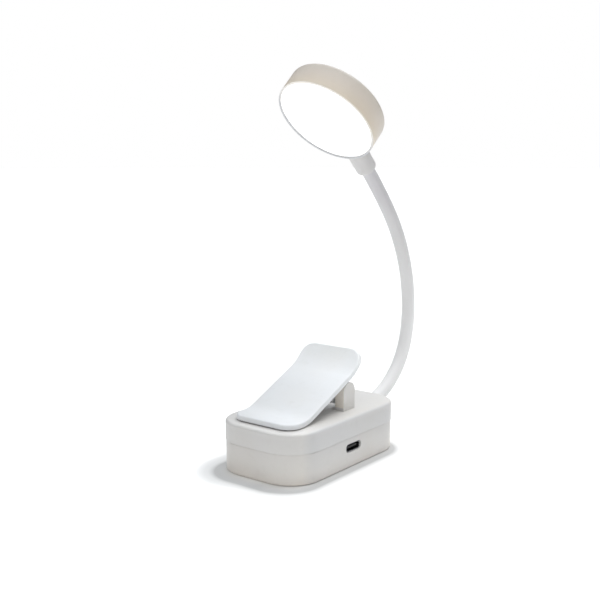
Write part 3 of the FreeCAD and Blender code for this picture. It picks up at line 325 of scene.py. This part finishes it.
def metal(name, colour, roughness=0.3, brush=(1.0, 1.0, 1.0)):
    """Drawn or plated metal, with fine marks along one direction."""
    n = Nodes(name)
    stretch = n.add("ShaderNodeMapping")
    stretch.inputs["Scale"].default_value = brush
    n.link(n.place, stretch.inputs["Vector"])
    marks = n.noise(3000, 3, place=stretch.outputs["Vector"])
    n.link(n.ramp(marks, [(0.3, shade(colour, 0.86)), (0.7, colour)]), n.shader.inputs["Base Color"])
    n.link(n.span(marks, roughness - 0.07, roughness + 0.1), n.shader.inputs["Roughness"])
    n.bump([(marks, 0.004 * MM)])
    n.set(Metallic=1.0)
    return n.material


def board(name, colour, track, copper):
    """Solder mask over a pattern of tracks, with small tinned pads."""
    n = Nodes(name)
    cells = n.add("ShaderNodeTexVoronoi", feature="DISTANCE_TO_EDGE", distance="MANHATTAN")
    cells.inputs["Scale"].default_value = 420
    n.link(n.place, cells.inputs["Vector"])
    lines = n.span(cells.outputs["Distance"], 1.0, 0.0, 0.05, 0.09)
    dots = n.add("ShaderNodeTexVoronoi", feature="F1")
    dots.inputs["Scale"].default_value = 260
    n.link(n.place, dots.inputs["Vector"])
    pads = n.span(dots.outputs["Distance"], 1.0, 0.0, 0.12, 0.14)
    n.link(n.mix(pads, n.mix(lines, colour, track), copper), n.shader.inputs["Base Color"])
    n.link(n.span(pads, 0.45, 0.25, 0.0, 1.0), n.shader.inputs["Roughness"])
    n.bump([(lines, 0.03 * MM)])
    n.set(IOR=1.5)
    return n.material


def opal():
    """Opal diffuser over the LEDs: evenly bright, with painted shade that dims it at the rim, most of all on
    its lower side.
    """
    n = Nodes("opal_diffuser")
    centre = n.add("ShaderNodeVectorMath", operation="DISTANCE")
    n.link(n.place, centre.inputs[0])
    centre.inputs[1].default_value = HEAD_CENTRE + HEAD_FACE * (HEAD_DEPTH / 2)
    share = n.span(centre.outputs["Value"], 0.0, 1.0, 0.0, HEAD_RADIUS)
    middle = [(0.0, (0.96, 0.98, 1.0)), (0.62, grey(1))]
    # Painted shade on the glow: dimmer at the rim, with a dark band at the rim on the lower side.
    upper = n.ramp(share, middle + [(0.9, (0.97, 0.985, 1.0)), (1.0, (0.90, 0.93, 0.96))])
    lower = n.ramp(share, middle + [
        (0.84, (0.95, 0.97, 1.0)), (0.88, (0.42, 0.44, 0.47)), (0.91, (0.30, 0.32, 0.34)),
        (0.935, (0.22, 0.23, 0.25)), (0.96, (0.16, 0.17, 0.18)),
    ])
    rim_shade_side = n.along(-HEAD_SIDE, HEAD_CENTRE, 0.1 * HEAD_RADIUS, 0.6 * HEAD_RADIUS)
    n.link(n.mix(rim_shade_side, upper, lower), n.shader.inputs["Emission Color"])
    base = n.ramp(n.noise(300, 2), [(0.3, (0.90, 0.91, 0.92)), (0.7, grey(0.93))])
    n.link(base, n.shader.inputs["Base Color"])
    n.link(n.span(n.noise(1200, 2), 0.35, 0.45), n.shader.inputs["Roughness"])
    n.bump([(n.noise(3500, 2), 0.004 * MM)])
    n.set(Emission_Strength=1.1, IOR=1.49)
    return n.material


def phosphor():
    """Lit LED: a warm yellow layer of phosphor."""
    n = Nodes("led_phosphor")
    base = n.ramp(n.noise(2500, 3), [(0.3, (0.92, 0.72, 0.22)), (0.7, (0.98, 0.86, 0.38))])
    n.link(base, n.shader.inputs["Base Color"])
    n.link(n.span(n.noise(4000, 2), 0.3, 0.5), n.shader.inputs["Roughness"])
    n.set(Emission_Color=(1.0, 0.93, 0.78, 1.0), Emission_Strength=1.5)
    return n.material


# ------------------------------------------------------------------ mesh helpers


def make(name, mesh, material, smooth=True):
    """Object from a bmesh, with outward faces."""
    bmesh.ops.recalc_face_normals(mesh, faces=mesh.faces)
    data = bpy.data.meshes.new(name)
    mesh.to_mesh(data)
    mesh.free()
    for face in data.polygons:
        face.use_smooth = smooth
    data.materials.append(material)
    item = bpy.data.objects.new(name, data)
    bpy.context.scene.collection.objects.link(item)
    return item


def sharpen(item, degrees=35):
    """Hard edges where faces meet at more than an angle."""
    item.data.set_sharp_from_angle(angle=math.radians(degrees))
    return item


def round_points(count):
    """Even points of a circle of radius 1."""
    turns = [2 * math.pi * i / count for i in range(count)]
    return [(math.cos(a), math.sin(a)) for a in turns]


def ring(mesh, centre, direction, radius, count, reference):
    """Ring of vertices around a direction. The reference keeps rings in step."""
    side = reference.cross(direction).normalized()
    up = direction.cross(side)
    return [mesh.verts.new(centre + (side * x + up * y) * radius) for x, y in round_points(count)]


def bridge(mesh, first, second):
    """Quads between two rings of equal length."""
    for i in range(len(first)):
        j = (i + 1) % len(first)
        mesh.faces.new((first[i], first[j], second[j], second[i]))


def tube(mesh, path, radius, bore=0.0, count=40, reference=Vector((1, 0, 0))):
    """Closed tube, or closed rod if bore is 0, along (point, direction) pairs."""
    outer = [ring(mesh, point, way, radius, count, reference) for point, way in path]
    for first, second in zip(outer, outer[1:]):
        bridge(mesh, first, second)
    if bore:
        inner = [ring(mesh, point, way, bore, count, reference) for point, way in path]
        for first, second in zip(inner, inner[1:]):
            bridge(mesh, first, second)
        bridge(mesh, outer[0], inner[0])
        bridge(mesh, outer[-1], inner[-1])
    else:
        mesh.faces.new(outer[0])
        mesh.faces.new(outer[-1])


def lathe(mesh, profile, place, count=128):
    """Closed solid turned about a placement's Z axis, from (radius, height) points. Both end radii are 0."""
    rings = []
    for radius, height in profile:
        if radius == 0:
            rings.append([mesh.verts.new(place @ Vector((0, 0, height)))])
            continue
        points = [Vector((radius * x, radius * y, height)) for x, y in round_points(count)]
        rings.append([mesh.verts.new(place @ point) for point in points])
    for first, second in zip(rings, rings[1:]):
        if len(first) == 1 or len(second) == 1:
            tip, rim = (first[0], second) if len(first) == 1 else (second[0], first)
            for i in range(count):
                mesh.faces.new((tip, rim[i], rim[(i + 1) % count]))
        else:
            bridge(mesh, first, second)


def stadium(mesh, centre, length, width, low, high, edge):
    """Closed bar along X with round ends, from low to high, with its upper edge rounded."""
    count = 10
    loops = []
    for level, inset in ((low, 0.0), (high - edge, 0.0), (high - edge * 0.3, edge * 0.3), (high, edge)):
        radius = width / 2 - inset
        loop = []
        for end in (1, -1):
            for i in range(count + 1):
                a = math.pi * i / count - math.pi / 2
                x = end * ((length - width) / 2 + radius * math.cos(a))
                loop.append(mesh.verts.new(centre + Vector((x, end * radius * math.sin(a), level))))
        loops.append(loop)
    for first, second in zip(loops, loops[1:]):
        bridge(mesh, first, second)
    mesh.faces.new(loops[0])
    mesh.faces.new(loops[-1])


def bar(mesh, face, length, width, depth, edge, facing):
    """Round-ended bar with its outer face at a point. It faces up, or down if facing is negative."""
    start = len(mesh.verts)
    stadium(mesh, face, length, width, -depth, 0.0, edge)
    if facing < 0:
        mesh.verts.ensure_lookup_table()
        for vert in mesh.verts[start:]:
            vert.co.z = 2 * face.z - vert.co.z


def rounded_rectangle(half_x, half_y, corner, steps=12):
    """Points of a rounded rectangle about the origin, anticlockwise."""
    points = []
    for index, (i, j) in enumerate(((1, -1), (1, 1), (-1, 1), (-1, -1))):
        for step in range(steps + 1):
            a = math.radians(-90 + 90 * index + 90 * step / steps)
            centre = Vector((i * (half_x - corner), j * (half_y - corner), 0))
            points.append(centre + Vector((math.cos(a), math.sin(a), 0)) * corner)
    return points


def stack(mesh, half_x, half_y, corner, levels):
    """Closed rounded-rectangle solid through (height, inset) levels."""
    loops = []
    for height, inset in levels:
        points = rounded_rectangle(half_x - inset, half_y - inset, max(corner - inset, 0.05 * MM))
        loops.append([mesh.verts.new(point + UP * height) for point in points])
    for first, second in zip(loops, loops[1:]):
        bridge(mesh, first, second)
    mesh.faces.new(loops[0])
    mesh.faces.new(loops[-1])


# ------------------------------------------------------------------ neck


def along(angle):
    """Direction in the side plane at an angle from +Y."""
    return Vector((0, math.cos(angle), math.sin(angle)))


def neck_length(section):
    return NECK_END_LENGTH if section in (0, len(NECK_TURNS) - 1) else NECK_PITCH


def on_arc(start, angle, section, share):
    """Point and angle at a share of a section's arc."""
    turn = NECK_TURNS[section]
    chord = 2 * neck_length(section) / turn * math.sin(turn * share / 2)
    return start + along(angle + turn * share / 2) * chord, angle + turn * share


def neck_frames():
    """Start of the first arc and end of every arc, as (point, angle)."""
    frames = [(NECK_ROOT + along(NECK_TILT) * FERRULE_REACH, NECK_TILT)]
    for section in range(len(NECK_TURNS)):
        frames.append(on_arc(*frames[-1], section, 1.0))
    return frames


FRAMES = neck_frames()
for joint in frame["joints"]:
    if joint["name"].startswith("neck"):
        nearest = min((Vector(joint["pos_m"]) - point).length for point, _ in FRAMES)
        assert nearest < 0.02 * MM, "the neck has moved"


def neck_run(first, last):
    """(point, direction) pairs from the middle of a section to the middle of the next. None is a neck end."""
    step = 0.5 * MM
    pairs = []
    if first is None:
        point, angle = FRAMES[0]
        inside = FERRULE_REACH + 4.0 * MM
        count = round(inside / step)
        pairs += [(point - along(angle) * (inside * (1 - i / count)), along(angle)) for i in range(count)]
        spans = [(0, 0.0, 0.5)]
    elif last is None:
        spans = [(first, 0.5, 1.0)]
    else:
        spans = [(first, 0.5, 1.0), (last, 0.0, 0.5)]
    for section, low, high in spans:
        count = max(2, round(neck_length(section) * (high - low) / step))
        for i in range(count):
            point, angle = on_arc(*FRAMES[section], section, low + (high - low) * i / count)
            pairs.append((point, along(angle)))
    section, _, high = spans[-1]
    point, angle = on_arc(*FRAMES[section], section, high)
    pairs.append((point, along(angle)))
    if last is None and first is not None:
        inside = 8.0 * MM
        count = round(inside / step)
        pairs += [(point + along(angle) * (inside * i / count), along(angle)) for i in range(1, count + 1)]
    return pairs


def neck_pieces():
    """Sleeve, wound core and leads, in lengths that each cross one bend."""
    sleeve = silicone("neck_silicone", (0.920, 0.908, 0.896))
    core = metal("neck_core_steel", (0.55, 0.55, 0.57), 0.35)
    parts = (
        ("sleeve", sleeve, "neck_silicone"), ("core", core, "spring_steel"),
        ("leads", LEAD_INSULATION, "lead_insulation"),
    )
    sections = len(NECK_TURNS)
    runs = [(None, 0)] + [(k - 1, k) for k in range(1, sections)] + [(sections - 1, None)]
    for index, (first, last) in enumerate(runs):
        path = neck_run(first, last)
        for part, material, slot in parts:
            mesh = bmesh.new()
            if part == "sleeve":
                tube(mesh, path, SLEEVE_RADIUS, SLEEVE_BORE, 48)
            elif part == "core":
                tube(mesh, path, CORE_RADIUS, CORE_BORE, 24)
            else:
                for side in (-1, 1):
                    shifted = [(point + Vector((side * LEAD_SIDE, 0, 0)), way) for point, way in path]
                    tube(mesh, shifted, LEAD_RADIUS, 0.0, 10)
            piece = sharpen(make(f"neck_{part}_length_{index}", mesh, material), 60)
            if index < sections:
                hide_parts(f"neck_{part}_{index}")
            if first is None:
                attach(piece, "base")
            elif last is None:
                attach(piece, "head")
            else:
                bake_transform(piece)


# ------------------------------------------------------------------ head


def head_placement():
    """Centre, the way out of the lit face, and a matrix with +Z out of that face."""
    point, angle = FRAMES[-1]
    up = along(angle)
    face = Quaternion(up, HEAD_TWIST) @ along(angle + math.pi / 2)
    centre = point + up * (SOCKET_LENGTH + HEAD_RADIUS) + face * SOCKET_BACK
    across = up.cross(face)
    matrix = Matrix((across, up, face)).transposed().to_4x4()
    matrix.translation = centre
    return centre, face, matrix


HEAD_CENTRE, HEAD_FACE, HEAD_MATRIX = head_placement()
HEAD_UP = HEAD_MATRIX.col[1].to_3d()
# Direction towards the head's upper side, for the painted highlight and shade on the lip and on the
# diffuser's rim.
HEAD_SIDE = (HEAD_UP * 0.75 + HEAD_MATRIX.col[0].to_3d() * 0.66).normalized()


def diffuser():
    """Opal disc in the rim, slightly crowned, with a stepped edge that snaps into the housing."""
    front = HEAD_DEPTH / 2 - 0.1 * MM
    outer = HEAD_RADIUS - RIM_WIDTH - 0.03 * MM
    back = front - 1.5 * MM
    profile = [(0.0, back)]
    profile += [(outer * share, back) for share in (0.5, 0.85)]
    profile += [(outer - 0.15 * MM, back), (outer, back + 0.15 * MM), (outer, front - 0.35 * MM)]
    profile += [(outer - 0.10 * MM, front - 0.13 * MM), (outer - 0.35 * MM, front - 0.02 * MM)]
    crown = 0.08 * MM
    steps = 14
    for i in range(steps, -1, -1):
        share = i / steps
        profile.append(((outer - 0.5 * MM) * share, front + crown * (1 - share**2)))
    mesh = bmesh.new()
    lathe(mesh, profile, HEAD_MATRIX)
    piece = sharpen(make("opal_diffuser", mesh, opal()), 50)
    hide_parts("head_diffuser")
    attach(piece, "head")


# ------------------------------------------------------------------ clip


def spring_piece(material):
    """One length of wire: lower leg on the base, coil around the pin and upper leg under the thumb end."""
    radius, wire, half = 2.1 * MM, 0.45 * MM, 3.0 * MM
    lower, upper = math.radians(-34.9), math.radians(75.0)
    lower_length, upper_length = 8.6 * MM, 4.6 * MM
    first, last = lower - math.pi / 2, upper + math.pi / 2
    turn = last - 2 * math.pi * 7 - first
    path = []
    count = 12
    for i in range(count):
        away = lower_length * (1 - i / count)
        path.append((PIVOT - RIGHT * half + along(first) * radius + along(lower) * away, -along(lower)))
    steps = 360
    for i in range(steps + 1):
        a = first + turn * i / steps
        way = RIGHT * (2 * half / (abs(turn) * radius)) - along(a + math.pi / 2)
        path.append((PIVOT + RIGHT * (2 * half * i / steps - half) + along(a) * radius, way.normalized()))
    for i in range(1, count + 1):
        away = upper_length * i / count
        path.append((PIVOT + RIGHT * half + along(last) * radius + along(upper) * away, along(upper)))
    mesh = bmesh.new()
    tube(mesh, path, wire, 0.0, 14)
    piece = sharpen(make("torsion_spring", mesh, material), 60)
    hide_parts("clip_spring")
    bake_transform(piece)


def grip_pad(name, node, body, material, facing):
    """Rubber pad with ribs across it, on the side that it faces."""
    low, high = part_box(node)
    centre, size = (low + high) / 2, high - low
    mesh = bmesh.new()
    rib = min(0.25 * MM, size.z * 0.4)
    bottom, top = (low.z, high.z - rib) if facing > 0 else (low.z + rib, high.z)
    levels = [(bottom, 0.0), (bottom + 0.02 * MM, 0.0), (top, 0.0)]
    stack(mesh, size.x / 2, size.y / 2, 0.5 * MM, levels)
    bmesh.ops.translate(mesh, verts=mesh.verts, vec=(centre.x, centre.y, 0))
    count = max(3, int(size.y / (0.9 * MM)))
    pitch = size.y / count
    face = high.z if facing > 0 else low.z
    for index in range(count):
        y = low.y + pitch * (index + 0.5)
        place = Vector((centre.x, y, face))
        bar(mesh, place, size.x - 0.6 * MM, pitch * 0.6, rib + 0.05 * MM, 0.1 * MM, facing)
    piece = sharpen(make(name, mesh, material), 40)
    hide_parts(node)
    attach(piece, body)


def mat_piece(material):
    """Rubber mat under the base: a border and cross bars that stand proud of its underside."""
    low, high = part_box("underside_mat")
    half_x, half_y = (high.x - low.x) / 2, (high.y - low.y) / 2
    corner = 10.35 * MM
    relief = 0.35 * MM
    mesh = bmesh.new()
    stack(mesh, half_x, half_y, corner, [(high.z, 0.0), (low.z + relief, 0.0)])
    border = 2.2 * MM
    outside = [(low.z + relief + 0.05 * MM, 0.0), (low.z + 0.2 * MM, 0.0)]
    outside += [(low.z + 0.06 * MM, 0.06 * MM), (low.z, 0.2 * MM)]
    inside = [(low.z, border), (low.z + relief + 0.05 * MM, border)]
    loops = []
    for height, inset in outside + inside:
        points = rounded_rectangle(half_x - inset, half_y - inset, corner - inset)
        loops.append([mesh.verts.new(point + UP * height) for point in points])
    for first, second in zip(loops, loops[1:]):
        bridge(mesh, first, second)
    bridge(mesh, loops[-1], loops[0])
    pitch = 2.4 * MM
    count = int((half_y - border) / pitch)
    for index in range(-count, count + 1):
        y = index * pitch
        reach = half_x - border - 0.5 * MM
        beyond = abs(y) - (half_y - corner)
        if beyond > 0:
            reach -= corner - math.sqrt(max((corner - border) ** 2 - beyond**2, 0)) - border
        if reach < 3 * MM:
            continue
        bar(mesh, Vector((0, y, low.z)), 2 * reach, 1.1 * MM, relief + 0.05 * MM, 0.12 * MM, -1)
    piece = sharpen(make("rubber_mat", mesh, material), 40)
    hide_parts("underside_mat")
    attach(piece, "base")


# ------------------------------------------------------------------ the object

LEAD_INSULATION = plastic("lead_insulation", (0.45, 0.03, 0.02), roughness=0.35).material
SPRING_STEEL = metal("spring_steel", (0.60, 0.60, 0.62), 0.28, (0.2, 1.0, 1.0))
GRIP_RUBBER = rubber("grip_rubber", (0.42, 0.42, 0.41))
SCREW_STEEL = metal("screw_steel", (0.55, 0.55, 0.57), 0.32)
BLACK_PLASTIC = plastic("black_plastic", (0.018, 0.018, 0.019), roughness=0.5).material

FINISHES = {
    "base_upper_shell": shell_plastic("upper_shell_plastic", (0.720, 0.700, 0.678)),
    "base_lower_shell": shell_plastic("lower_shell_plastic", (0.713, 0.684, 0.652)),
    "clip_lever": lever_plastic(),
    "power_button": plastic("button_plastic", (0.70, 0.70, 0.69), roughness=0.38).material,
    "neck_ferrule": silicone("ferrule_rubber", (0.86, 0.855, 0.85)),
    "head_housing": head_plastic(),
    "hinge_pin": SPRING_STEEL,
    "base_screws": SCREW_STEEL,
    "board_screws": SCREW_STEEL,
    "led_board_screws": SCREW_STEEL,
    "usb_c_shell": metal("socket_metal", (0.30, 0.30, 0.31), 0.25, (0.2, 1.0, 1.0)),
    "usb_c_tongue": BLACK_PLASTIC,
    "tact_switch": BLACK_PLASTIC,
    "circuit_components": BLACK_PLASTIC,
    "main_circuit_board": board("green_board", (0.01, 0.09, 0.04), (0.02, 0.16, 0.07), (0.7, 0.68, 0.62)),
    "led_board": board("white_board", (0.80, 0.80, 0.78), (0.72, 0.72, 0.70), (0.75, 0.73, 0.68)),
    "leds": phosphor(),
    "battery_cell": metal("battery_foil", (0.70, 0.70, 0.72), 0.35, (1.0, 0.1, 1.0)),
    "battery_tape": rubber("tape_foam", (0.05, 0.05, 0.05)),
    "battery_leads": LEAD_INSULATION,
    "lamp_leads": LEAD_INSULATION,
    "head_leads": LEAD_INSULATION,
}

for node, material in FINISHES.items():
    slots = NODES[node].data.materials
    for index in range(len(slots)):
        slots[index] = material

neck_pieces()
diffuser()
spring_piece(SPRING_STEEL)
grip_pad("base_grip_ribs", "base_grip_pad", "base", GRIP_RUBBER, 1)
grip_pad("jaw_grip_ribs", "jaw_grip_pad", "clip", GRIP_RUBBER, -1)
mat_piece(GRIP_RUBBER)


# ------------------------------------------------------------------ studio


def beside_base(n):
    """Distance on the table from the base's outline, which is moved a little away from the key light, for the
    painted shadow.
    """
    shifted = n.add("ShaderNodeVectorMath", operation="SUBTRACT")
    n.link(n.place, shifted.inputs[0])
    shifted.inputs[1].default_value = SHADE_SHIFT
    folded = n.add("ShaderNodeVectorMath", operation="ABSOLUTE")
    n.link(shifted.outputs["Vector"], folded.inputs[0])
    past = n.add("ShaderNodeVectorMath", operation="SUBTRACT")
    n.link(folded.outputs["Vector"], past.inputs[0])
    past.inputs[1].default_value = BASE_HALF - Vector((1, 1, 0)) * BASE_CORNER
    outside = n.add("ShaderNodeVectorMath", operation="MAXIMUM")
    n.link(past.outputs["Vector"], outside.inputs[0])
    length = n.add("ShaderNodeVectorMath", operation="LENGTH")
    n.link(outside.outputs["Vector"], length.inputs[0])
    distance = n.add("ShaderNodeMath", operation="SUBTRACT")
    n.link(length.outputs["Value"], distance.inputs[0])
    distance.inputs[1].default_value = BASE_CORNER
    return distance.outputs["Value"]


def floor_piece():
    """Large pale table top, with a painted contact shadow around the base."""
    mesh = bmesh.new()
    rings = [[mesh.verts.new((0, 0, 0))]]
    radii = (0.12, 0.3, 0.8, 2.0, 6.0)
    count = 96
    for radius in radii:
        rings.append([mesh.verts.new((radius * x, radius * y, 0)) for x, y in round_points(count)])
    for i in range(count):
        mesh.faces.new((rings[0][0], rings[1][i], rings[1][(i + 1) % count]))
    for first, second in zip(rings[1:], rings[2:]):
        bridge(mesh, first, second)
    n = Nodes("table_top")
    paint = n.ramp(n.noise(3, 2), [(0.3, (0.945, 0.940, 0.930)), (0.7, (0.955, 0.950, 0.940))])
    # Painted contact shadow beside the base, longer on its left side and darker close to its right side.
    distance = beside_base(n)
    painted_contact_shadow = n.ramp(n.span(distance, 0.0, 1.0, SHADE_START, SHADE_END), SHADE)
    for side, reach, stops in ((TAIL_SIDE, TAIL_END, TAIL), (BLUNT_SIDE, BLUNT_END, BLUNT)):
        weight = n.along(side, ORIGIN, 8 * MM, 20 * MM)
        painted_side_shadow = n.ramp(n.span(distance, 0.0, 1.0, 0.0, reach), stops)
        painted_contact_shadow = n.mix(weight, painted_contact_shadow, n.tint(painted_contact_shadow, painted_side_shadow))
    n.link(n.tint(paint, painted_contact_shadow), n.shader.inputs["Base Color"])
    n.set(Roughness=0.9, Specular_IOR_Level=0.0, Emission_Color=(1, 1, 1, 1), Emission_Strength=0.12)
    item = make("table_top", mesh, n.material)


def world():
    """Dim room, brightest overhead, and white where the camera sees past the table."""
    room = bpy.data.worlds.new("room")
    bpy.context.scene.world = room
    room.use_nodes = True
    tree = room.node_tree
    background = tree.nodes["Background"]
    place = tree.nodes.new("ShaderNodeTexCoord")
    split = tree.nodes.new("ShaderNodeSeparateXYZ")
    above = tree.nodes.new("ShaderNodeClamp")
    fade = tree.nodes.new("ShaderNodeMath")
    fade.operation = "POWER"
    fade.inputs[1].default_value = 2.0
    seen = tree.nodes.new("ShaderNodeBackground")
    path = tree.nodes.new("ShaderNodeLightPath")
    choose = tree.nodes.new("ShaderNodeMixShader")
    tree.links.new(place.outputs["Generated"], split.inputs[0])
    tree.links.new(split.outputs["Z"], above.inputs["Value"])
    tree.links.new(above.outputs["Result"], fade.inputs[0])
    tree.links.new(fade.outputs["Value"], background.inputs["Strength"])
    background.inputs["Color"].default_value = (*ROOM, 1)
    seen.inputs["Color"].default_value = (1, 1, 1, 1)
    seen.inputs["Strength"].default_value = 1.0
    tree.links.new(path.outputs["Is Camera Ray"], choose.inputs["Fac"])
    tree.links.new(background.outputs["Background"], choose.inputs[1])
    tree.links.new(seen.outputs["Background"], choose.inputs[2])
    tree.links.new(choose.outputs["Shader"], tree.nodes["World Output"].inputs["Surface"])


def far_softbox(name, direction, strength, degrees, colour):
    """Large soft light from far away, in a direction from the object."""
    data = bpy.data.lights.new(name, "SUN")
    data.energy = strength
    data.angle = math.radians(degrees)
    data.color = colour
    item = bpy.data.objects.new(name, data)
    item.rotation_euler = Vector(direction).to_track_quat("Z", "Y").to_euler()
    bpy.context.scene.collection.objects.link(item)


def camera():
    data = bpy.data.cameras.new("camera")
    data.lens = 56.37
    data.sensor_width = 36.0
    data.clip_start, data.clip_end = 0.01, 50
    item = bpy.data.objects.new("camera", data)
    azimuth, elevation = math.radians(37.77), math.radians(9.043)
    level = Vector((math.sin(azimuth), -math.cos(azimuth), 0))
    back = level * math.cos(elevation) + UP * math.sin(elevation)
    item.location = Vector((213.08, -282.09, 118.02)) * MM
    item.rotation_euler = (-back).to_track_quat("-Z", "Y").to_euler()
    bpy.context.scene.collection.objects.link(item)
    bpy.context.scene.camera = item


# Outline of the base on the table, and the painted contact shadow: how dark the table is painted at distances
# from it.
BASE_HALF, BASE_CORNER = Vector((20.8, 36.5, 0)) * MM, 13.0 * MM
SHADE_SHIFT = Vector((0.8, -3.3, 0)) * MM
SHADE_START, SHADE_END = -4.0 * MM, 8.0 * MM
SHADE = [
    (0.0, (0.70, 0.69, 0.67)), (0.22, grey(0.60)), (0.33, grey(0.555)), (0.433, grey(0.54)),
    (0.483, grey(0.66)), (0.533, grey(0.755)), (0.588, grey(0.835)), (0.642, grey(0.89)), (0.75, grey(0.93)),
    (1.0, grey(1)),
]
TAIL_SIDE, TAIL_END = Vector((-0.98, -0.2, 0)), 10.0 * MM
TAIL = [(0.0, grey(0.92)), (0.3, grey(0.90)), (0.5, grey(0.855)), (0.7, grey(0.88)), (1.0, grey(1))]
BLUNT_SIDE, BLUNT_END = Vector((0.98, -0.2, 0)), 4.0 * MM
BLUNT = [(0.0, grey(0.85)), (0.3, grey(0.86)), (0.6, grey(0.92)), (1.0, grey(0.97))]
ROOM = (0.95, 1.00, 1.06)

floor_piece()
world()
camera()
far_softbox("right_rear", (0.22, 0.34, 0.91), 1.20, 26, (1.0, 0.995, 0.985))
far_softbox("left_rear", (-0.30, 0.60, 0.74), 0.70, 40, (0.95, 0.99, 1.03))
far_softbox("left_front", (-0.40, -0.50, 0.77), 0.17, 60, (0.99, 0.99, 0.98))
far_softbox("front", (0.35, -0.55, 0.75), 0.50, 70, (0.99, 1.0, 1.0))
bpy.context.scene.view_settings.view_transform = "Standard"
